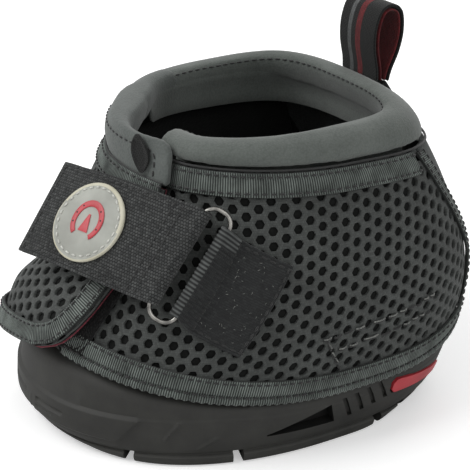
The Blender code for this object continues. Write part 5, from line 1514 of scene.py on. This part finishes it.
def sole():
    """The moulded sole with its tread, side mouldings and red side plates."""
    wide = all_round(341)
    columns = np.array([sole_column(angle) for angle in wide])
    angles = by_rows(wide, columns.shape[1])
    heights, out = columns[..., 0], columns[..., 1]
    ways = np.where(columns[..., 2:] > 0.5, outward(angles, heights), level_outward(angles, heights))
    points = skin(angles, heights) + ways * out[..., None]
    index = np.arange(out.size).reshape(out.shape)
    beside = np.roll(index, -1, axis=0)
    faces = np.stack([index[:, :-1], beside[:, :-1], beside[:, 1:], index[:, 1:]], -1).reshape(-1, 4).tolist()
    made = add_piece("moulded_sole", points, faces + [index[::-1, 0], index[:, -1]], RUBBER)
    tools = tread_cutters()
    for side, hand in ((1.0, "right"), (-1.0, "left")):
        tools.append(skin_block(f"plate_cutter_{hand}", *insert_outline(side, 0.0), -0.0018, 0.0030, RUBBER))
        for number, (turn, rise, deep, finish) in enumerate(side_recesses(side)):
            tools.append(skin_block(f"recess_cutter_{hand}_{number}", turn, rise, deep, 0.0030, finish))
        plate = skin_block(f"red_plate_{hand}", *insert_outline(side, 0.13), -0.0014, 0.0006, RED_PLASTIC)
        altered(plate, "BEVEL", width=0.0003, segments=2, limit_method="ANGLE", angle_limit=math.radians(50.0))
        plate.data.shade_smooth()
        settle(plate, "boot", "red_plastic", f"sole_insert_{hand}")
    group = bpy.data.collections.new("sole_cutters")
    bpy.context.scene.collection.children.link(group)
    for tool in tools:
        group.objects.link(tool)
    cut = {"operation": "DIFFERENCE", "operand_type": "COLLECTION", "collection": group}
    # The cutters' finishes pass to the faces they cut, so the wedge's walls and floor carry its painted shade.
    altered(made, "BOOLEAN", **cut, solver="EXACT", material_mode="TRANSFER")
    for tool in tools:
        bpy.data.objects.remove(tool)
    bpy.data.collections.remove(group)
    made.data.shade_smooth()
    made.data.set_sharp_from_angle(angle=math.radians(32.0))
    settle(made, "boot", "sole_rubber", "outsole")


# The closure.


def strap_grid(path, across):
    """Points of the strap for a path of places and heights, and places across it."""
    along, _, _, bar, _ = link_frame()
    aim = unit(over_skin(*STRAP_TIP) - bar)
    normal = unit(np.cross(aim, along))
    points = []
    for place, height in path:
        for spot in across:
            if place > 0:
                points.append(strap_point(place, spot, height))
            else:
                points.append(bar + aim * place + along * spot + normal * height)
    return np.array(points).reshape(len(path), len(across), 3)


def strap():
    """The woven strap folded round the link, with its hook pad, stitching and round patch."""
    radius = WIRE_RADIUS + BAR_CLEARANCE + STRAP_THICKNESS / 2.0
    total = STRAP_REACH + STRAP_END
    path = [(place, radius) for place in total - (total - STRAP_THICKNESS * 2.0) * edge_shares(60, 0.2)]
    turn = np.radians(np.linspace(90.0, 270.0, 25))
    path += list(zip(radius * np.cos(turn), radius * np.sin(turn)))
    close = radius - STRAP_THICKNESS - 0.0004
    back = 0.0125
    shares = np.linspace(0.0, 1.0, 9)[1:]
    knots = (0.0, 0.35, 0.65, 1.0)
    under = np.interp(shares, knots, (-radius, -radius * 0.55, close - radius * 0.45, close))
    path += list(zip(back * shares, under))
    across = (0.5 - edge_shares(28, 0.25)) * STRAP_WIDTH - STRAP_SHIFT
    middle = strap_grid(path, across)
    ways = grid_normals(middle)
    made = closed_sheet("strap_webbing", middle + ways * STRAP_THICKNESS / 2.0, ways, STRAP_THICKNESS, WEBBING)
    settle(made, "strap", "strap_cloth", "front_strap")
    face = radius + STRAP_THICKNESS / 2.0
    half = STRAP_WIDTH / 2.0 - 0.0022
    lines = [[(p, spot) for p in np.linspace(0.004, total - 0.002, 50)] for spot in (half, -half)]
    ends = np.linspace(-half + 0.0003, half - 0.0003, 30)
    lines += [[(place, s) for s in ends] for place in (total - 0.0022, 0.0065, 0.0105)]
    lines = [[strap_point(p, spot - STRAP_SHIFT, face + 0.00015) for p, spot in line] for line in lines]
    stitch_rows("strap_stitches", lines, DARK_THREAD, "strap", "strap_cloth", Radius=0.0003)
    path = [(place, radius - STRAP_THICKNESS / 2.0 - GAP) for place in np.linspace(0.0668, 0.0330, 30)]
    spots = strap_grid(path, (0.5 - edge_shares(20)) * 0.0384 + 0.0006 - STRAP_SHIFT)
    made = closed_sheet("strap_hooks", spots, grid_normals(spots), 0.0012, PILE)
    settle(made, "strap", "black_cloth", "strap_hook_pad")
    round_patch(face + GAP)


def round_patch(base):
    """The round moulded patch: a cream edge, a ring of pale stitches and a plain raised horseshoe in red."""
    thickness = 0.0014
    profile = (
        (0.02, thickness), (0.30, thickness), (0.60, thickness), (0.80, thickness), (0.845, thickness - 0.0002),
        (0.885, thickness - 0.0002), (0.905, thickness), (0.955, thickness), (0.985, thickness * 0.85),
        (1.0, thickness * 0.5), (0.99, 0.0), (0.60, 0.0), (0.02, 0.0),
    )

    def spot(turn, ahead, aside, height):
        return strap_point(BADGE_PLACE + ahead * math.cos(turn), aside * math.sin(turn), base + height)

    def ring(reach, height, count):
        return [spot(turn, reach, reach, height) for turn in 2.0 * math.pi * np.arange(count) / count]

    made = ring_solid("round_badge", [ring(BADGE_RADIUS * share, height, 96) for share, height in profile], PATCH_FACE)
    made.data.materials.append(PATCH_EDGE)
    centre = Vector(strap_point(BADGE_PLACE, 0.0, base))
    for face in made.data.polygons:
        face.material_index = int((centre - face.center).length > BADGE_RADIUS * 0.935)
    flip_out(made)
    made.data.shade_smooth()
    settle(made, "strap", "patch_plastic", "round_patch")
    line = ring(BADGE_RADIUS * 0.865, thickness, 120)
    stitch_rows("badge_stitches", [line], PALE_THREAD, "strap", "patch_plastic", True, Length=0.0021)
    # A plain horseshoe with nail holes and a wedge in its middle.
    turn = np.radians(np.linspace(38.0, 322.0, 57))[:, None]
    wide = (0.0013 - 0.0004 * np.abs(turn / math.pi - 1.0)) * np.linspace(-1.0, 1.0, 6)
    shoe = (0.0064 + wide) * np.sin(turn), (0.0072 + wide) * np.cos(turn)
    share = np.linspace(0.0, 1.0, 8)[:, None]
    wedge = (0.0004 + 0.0020 * share) * np.linspace(-1.0, 1.0, 5), -0.0028 + 0.0072 * share + np.zeros((1, 5))
    for name, (ahead, aside) in (("shoe", shoe), ("wedge", wedge)):
        level = base + thickness + 0.0005
        spots = np.array([strap_point(BADGE_PLACE + a, c, level) for a, c in zip(ahead.flat, aside.flat)])
        spots = spots.reshape(ahead.shape + (3,))
        ways = grid_normals(spots)
        ways *= np.sign(np.sum(ways * (spots - strap_point(BADGE_PLACE, 0.0, base - 0.05)), -1, keepdims=True))
        settle(flip_out(closed_sheet(f"badge_{name}", spots, ways, 0.0006, RED_PLASTIC)), "strap", "red_plastic")
    nails = []
    for turn in np.radians((15.0, -15.0, -45.0, 225.0, 195.0, 165.0)):
        nails.append([spot(turn, 0.0064, 0.0072, thickness + height) for height in (0.0002, 0.0006)])
    cord("badge_nails", nails, 0.00035, DARK_THREAD, "strap", "red_plastic")


def wire_link():
    """The bent wire link that turns in the band."""
    along, across, _, _, band = link_frame()
    corner = 0.0050
    half = LINK_STRAIGHT / 2.0 + LINK_CORNER - corner
    path = []
    for number, (side, middle) in enumerate(
        ((half, -corner), (half, corner - LINK_WIDTH), (-half, corner - LINK_WIDTH), (-half, -corner))
    ):
        for turn in math.radians(90.0) * (number + np.arange(13) / 12.0):
            place = across * (middle + corner * math.cos(turn)) + along * (side + corner * math.sin(turn))
            path.append(band + place)
    cord("wire_link", [path], 0.0009, WIRE, "link", "steel", "strap_link", closed=True)


def band_place(share, across, out):
    """A point on the anchor band's tongue, at a share from the link to its cut end."""
    top, low = np.array(BAND_NEAR) + (np.array(BAND_FAR) - BAND_NEAR) * share
    angle, height = top + (low - top) * (0.5 - across / BAND_WIDTH)
    return over_skin(angle, height, out)


def anchor_band():
    """The band that holds the link: two plies sewn to the side panel and folded round the bar, with lint on it."""
    along, across, out, _, bar = link_frame()
    radius = WIRE_RADIUS + BAR_CLEARANCE + BAND_THICKNESS / 2.0
    low = GAP + BAND_THICKNESS / 2.0
    high = low + BAND_THICKNESS + 0.0004
    rows = (0.5 - edge_shares(100, 0.2)) * BAND_WIDTH
    shares = np.concatenate([[1.0, 0.985], np.linspace(0.95, 0.05, 24)])
    points = [[band_place(share, spot, low) for spot in rows] for share in shares]
    for turn in np.radians(np.linspace(-90.0, -270.0, 25)):
        fold = across * radius * math.cos(turn) + out * radius * math.sin(turn)
        points.append([bar - along * spot + fold for spot in rows])
    points += [[band_place(share, spot, high) for spot in rows] for share in shares[::-1]]
    middle = np.array(points)
    ways = grid_normals(middle)
    face = np.array(band_place(0.5, 0.0, high + 0.01)) - np.array(band_place(0.5, 0.0, high))
    ways *= 1.0 if np.dot(ways[-8, 50], face) > 0 else -1.0
    made = closed_sheet("link_band", middle + ways * BAND_THICKNESS / 2.0, ways, BAND_THICKNESS, BAND)
    # Ribs run round the fold only.
    count = len(points)
    fold = smooth_step(1.0 - (np.abs(np.arange(count) - (count // 2 + 2)) - 14) / 3.0)
    run = np.tile(rows + BAND_WIDTH, (2 * count, 1))
    lift = np.repeat(np.concatenate([fold, 0.0 * fold]), len(rows))
    made.data.attributes["run"].data.foreach_set("value", numbers(run))
    made.data.attributes["lift"].data.foreach_set("value", numbers(lift))
    made = run_tree(flip_out(made), RIBS, Pitch=0.0016, Rise=0.0004, Finish=BAND)
    # The fold takes the ribbed finish, with its troughs painted dark and crests pale: painted shade and highlight.
    made.data.materials.append(FOLD)
    for face in made.data.polygons:
        face.material_index = int(np.linalg.norm(np.cross(np.array(face.center) - bar, along)) < radius * 1.7)
    settle(made, "boot", "black_cloth", "anchor_band")
    top = high + BAND_THICKNESS / 2.0 + 0.0001
    lines = [[band_place(s, spot, top) for s in np.linspace(0.04, 0.97, 30)] for spot in (0.0172, -0.0172)]
    lines += [[band_place(share, spot, top) for spot in np.linspace(0.0165, -0.0165, 30)] for share in (0.06, 0.95)]
    stitch_rows("band_stitches", lines, DARK_THREAD, "boot", "black_cloth")
    draw = np.random.default_rng(11)
    lint = []
    for _ in range(46):
        share, spot = draw.uniform(0.12, 0.90), draw.uniform(-0.0155, 0.0155)
        bend, reach = draw.uniform(0.0, 6.3), draw.uniform(0.0004, 0.0013)
        start = band_place(share, spot, top)
        end = band_place(share + reach * 30.0 * math.cos(bend), spot + reach * math.sin(bend), top + 0.0002)
        lint.append([start, (start + end) / 2.0 + draw.uniform(-0.0002, 0.0002, 3), end])
    cord("band_lint", lint, 0.0001, LINT, "boot", "black_cloth")


def loop_base():
    """Where the pull loop is sewn on, and the collar's lean there."""
    section = collar_section(180.0, 0.0)
    foot, top = section[3], section[9]
    lean = (top - foot) / np.linalg.norm(top - foot)
    out = np.array([0.0, lean[2], -lean[1]])
    return top + out * (COLLAR_BULGE / 2.0 + GAP + TAB_THICKNESS / 2.0) - lean * LOOP_DROP, lean


# Places across the loop's ribbons, in millimetres from one edge, closer together at the edges and the stripes.
LOOP_ROWS = (0.0, 0.3, 1.5, 3.0, 4.5, 6.0, 7.2, 8.5, 10.0, 11.5, 13.2, 15.0, 17.0, 19.0, 21.0, 23.0, 24.7, 25.0)
LOOP_ROWS = np.array(LOOP_ROWS) / 1e3


def loop_ribbon(name, inset, thickness, finish, base, node, slot_name):
    """One ribbon of the pull loop."""
    knots = np.arange(len(LOOP_BACK_SHARES), dtype=float)
    fine = np.linspace(0.0, knots[-1], 90)
    back = through(knots, np.array(LOOP_BACK_SHARES) * LOOP_DEPTH, fine)
    up = through(knots, np.array(LOOP_UP_SHARES) * LOOP_HEIGHT, fine)
    back, up = moved_aside(np.stack([back, up], 1), inset).T
    lean = math.radians(LOOP_LEAN)
    across = LOOP_ROWS - LOOP_WIDTH / 2.0
    points = np.zeros((len(fine), len(across), 3)) + base
    points[..., 0] += across
    points[..., 1] += (back * math.cos(lean) + up * math.sin(lean) - LOOP_FORWARD)[:, None]
    points[..., 2] += (up * math.cos(lean) - back * math.sin(lean) + 2 * GAP)[:, None]
    ways = grid_normals(points)
    made = flip_out(closed_sheet(name, points, ways, thickness, finish))
    if finish is RIBBON:
        # Two woven stripes along the ribbon.
        made.data.materials.append(GREY_THREAD)
        made.data.materials.append(RED_RIBBON)
        for face in made.data.polygons:
            place = face.center.x + LOOP_WIDTH / 2.0
            face.material_index = 1 if 0.006 < place < 0.0085 else 2 if 0.0115 < place < 0.015 else 0
    settle(made, "loop", slot_name, node)
    return points, ways


def pull_loop():
    """The pull loop at the heel: a black ribbon, its red lining and the stitched tab that holds them."""
    base, lean = loop_base()
    points, ways = loop_ribbon("loop_ribbon_outer", 0.0, 0.0012, RIBBON, base, "pull_loop", "black_cloth")
    loop_ribbon("loop_ribbon_lining", 0.0012 + GAP, 0.0008, RED_RIBBON, base, "pull_loop_lining", "red_cloth")
    lines = [points[4:-4, row] + ways[4:-4, row] * 0.0001 for row in (2, -3)]
    stitch_rows("loop_stitches", lines, DARK_THREAD, "loop", "black_cloth")
    side = np.array([0.0, lean[2], -lean[1]])

    def on_tab(across, down, out):
        place = np.multiply.outer(across, (LOOP_WIDTH, 0.0, 0.0)) - np.multiply.outer(down, lean) * TAB_DROP
        return base + place + side * out

    across, down = np.meshgrid(edge_shares(16, 0.25) - 0.5, edge_shares(12, 0.3), indexing="ij")
    spots = on_tab(across, down, TAB_THICKNESS / 2.0)
    made = flip_out(closed_sheet("loop_tab", spots, np.broadcast_to(side, spots.shape), TAB_THICKNESS, RIBBON))
    settle(made, "boot", "black_cloth", "pull_loop_tab")
    lines = []
    corners = np.array(((-0.42, 0.12), (0.42, 0.12), (0.42, 0.88), (-0.42, 0.88)))
    for start, stop in zip(corners, np.roll(corners, -1, axis=0)):
        x, y = start[:, None] + (stop - start)[:, None] * np.linspace(0.03, 0.97, 12)
        lines.append(on_tab(x, y, TAB_THICKNESS / 2.0 + 0.0001))
    stitch_rows("tab_stitches", lines, GREY_THREAD, "boot", "black_cloth")


def carried_over():
    """Material for the hidden stiffener, the one CAD solid that stays."""
    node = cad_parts["heel_counter"]
    for slot_place in node.material_slots:
        slot_place.material = STIFFENER


# Camera, light and ground.


def aimed(made, spot, aim):
    """Put an object in a place, facing another."""
    made.location = spot
    made.rotation_mode = "QUATERNION"
    made.rotation_quaternion = (Vector(aim) - Vector(spot)).to_track_quat("-Z", "Y")


def camera():
    """The photograph's camera."""
    turn, rise, reach = math.radians(59.3), math.radians(23.4), 0.6213
    target = Vector((0.00259, 0.01012, 0.06452))
    back = Vector((math.sin(turn) * math.cos(rise), -math.cos(turn) * math.cos(rise), math.sin(rise)))
    made = placed("camera", bpy.data.cameras.new("camera"))
    aimed(made, target + back * reach, target)
    # The lens is its focal length in the photograph's pixels, as a share of its width.
    made.data.sensor_width = 36.0
    made.data.lens = 1491.1 / 470.0 * made.data.sensor_width
    made.data.clip_start = 0.01
    bpy.context.scene.camera = made


def lamp(name, spot, size, power):
    """A soft square lamp that faces the boot."""
    made = placed(name, bpy.data.lights.new(name, "AREA"))
    made.data.size = size
    made.data.energy = power
    aimed(made, spot, (0.0, 0.0, 0.06))


def studio():
    """A white surround, a pale floor that keeps the shadow, and soft lamps from above and the toe's side."""
    bpy.context.scene.view_settings.view_transform = "Standard"
    world = bpy.data.worlds.new("white_surround")
    world.use_nodes = True
    bpy.context.scene.world = world
    tree = world.node_tree
    ray = add_node(tree, "ShaderNodeLightPath")
    seen = sum_of(tree, "MAXIMUM", ray["Is Camera Ray"], ray["Is Glossy Ray"])
    seen = sum_of(tree, "MAXIMUM", seen, ray["Is Transmission Ray"])
    level = add_node(tree, "ShaderNodeMapRange", {"Value": seen, "To Min": 0.38, "To Max": 1.0})["Result"]
    tree.nodes["Background"].inputs["Color"].default_value = WHITE
    tree.links.new(level, tree.nodes["Background"].inputs["Strength"])
    lamp("key_lamp", (-0.35, -0.95, 1.15), 0.9, 12.0)
    lamp("fill_lamp", (1.15, 0.15, 0.75), 1.0, 3.2)
    lamp("back_lamp", (-0.60, 0.85, 0.95), 0.9, 4.6)
    paint, tree, shader = new_finish("pale_floor", 0.85, Base_Color=linear("#f4f4f4"), Emission_Color=WHITE)
    glow = sum_of(tree, "MULTIPLY", add_node(tree, "ShaderNodeLightPath")["Is Camera Ray"], 0.40)
    tree.links.new(glow, shader.inputs["Emission Strength"])
    corners = [(-4.0, -4.0, 0.0), (4.0, -4.0, 0.0), (4.0, 4.0, 0.0), (-4.0, 4.0, 0.0)]
    add_piece("floor", corners, [(0, 1, 2, 3)], paint)


camera()
studio()
sole()
foam_pads()
upper_panels()
inner_layers()
bindings()
mended_seams()
flap_trim()
collar()
front_roll()
strap()
wire_link()
anchor_band()
pull_loop()
carried_over()
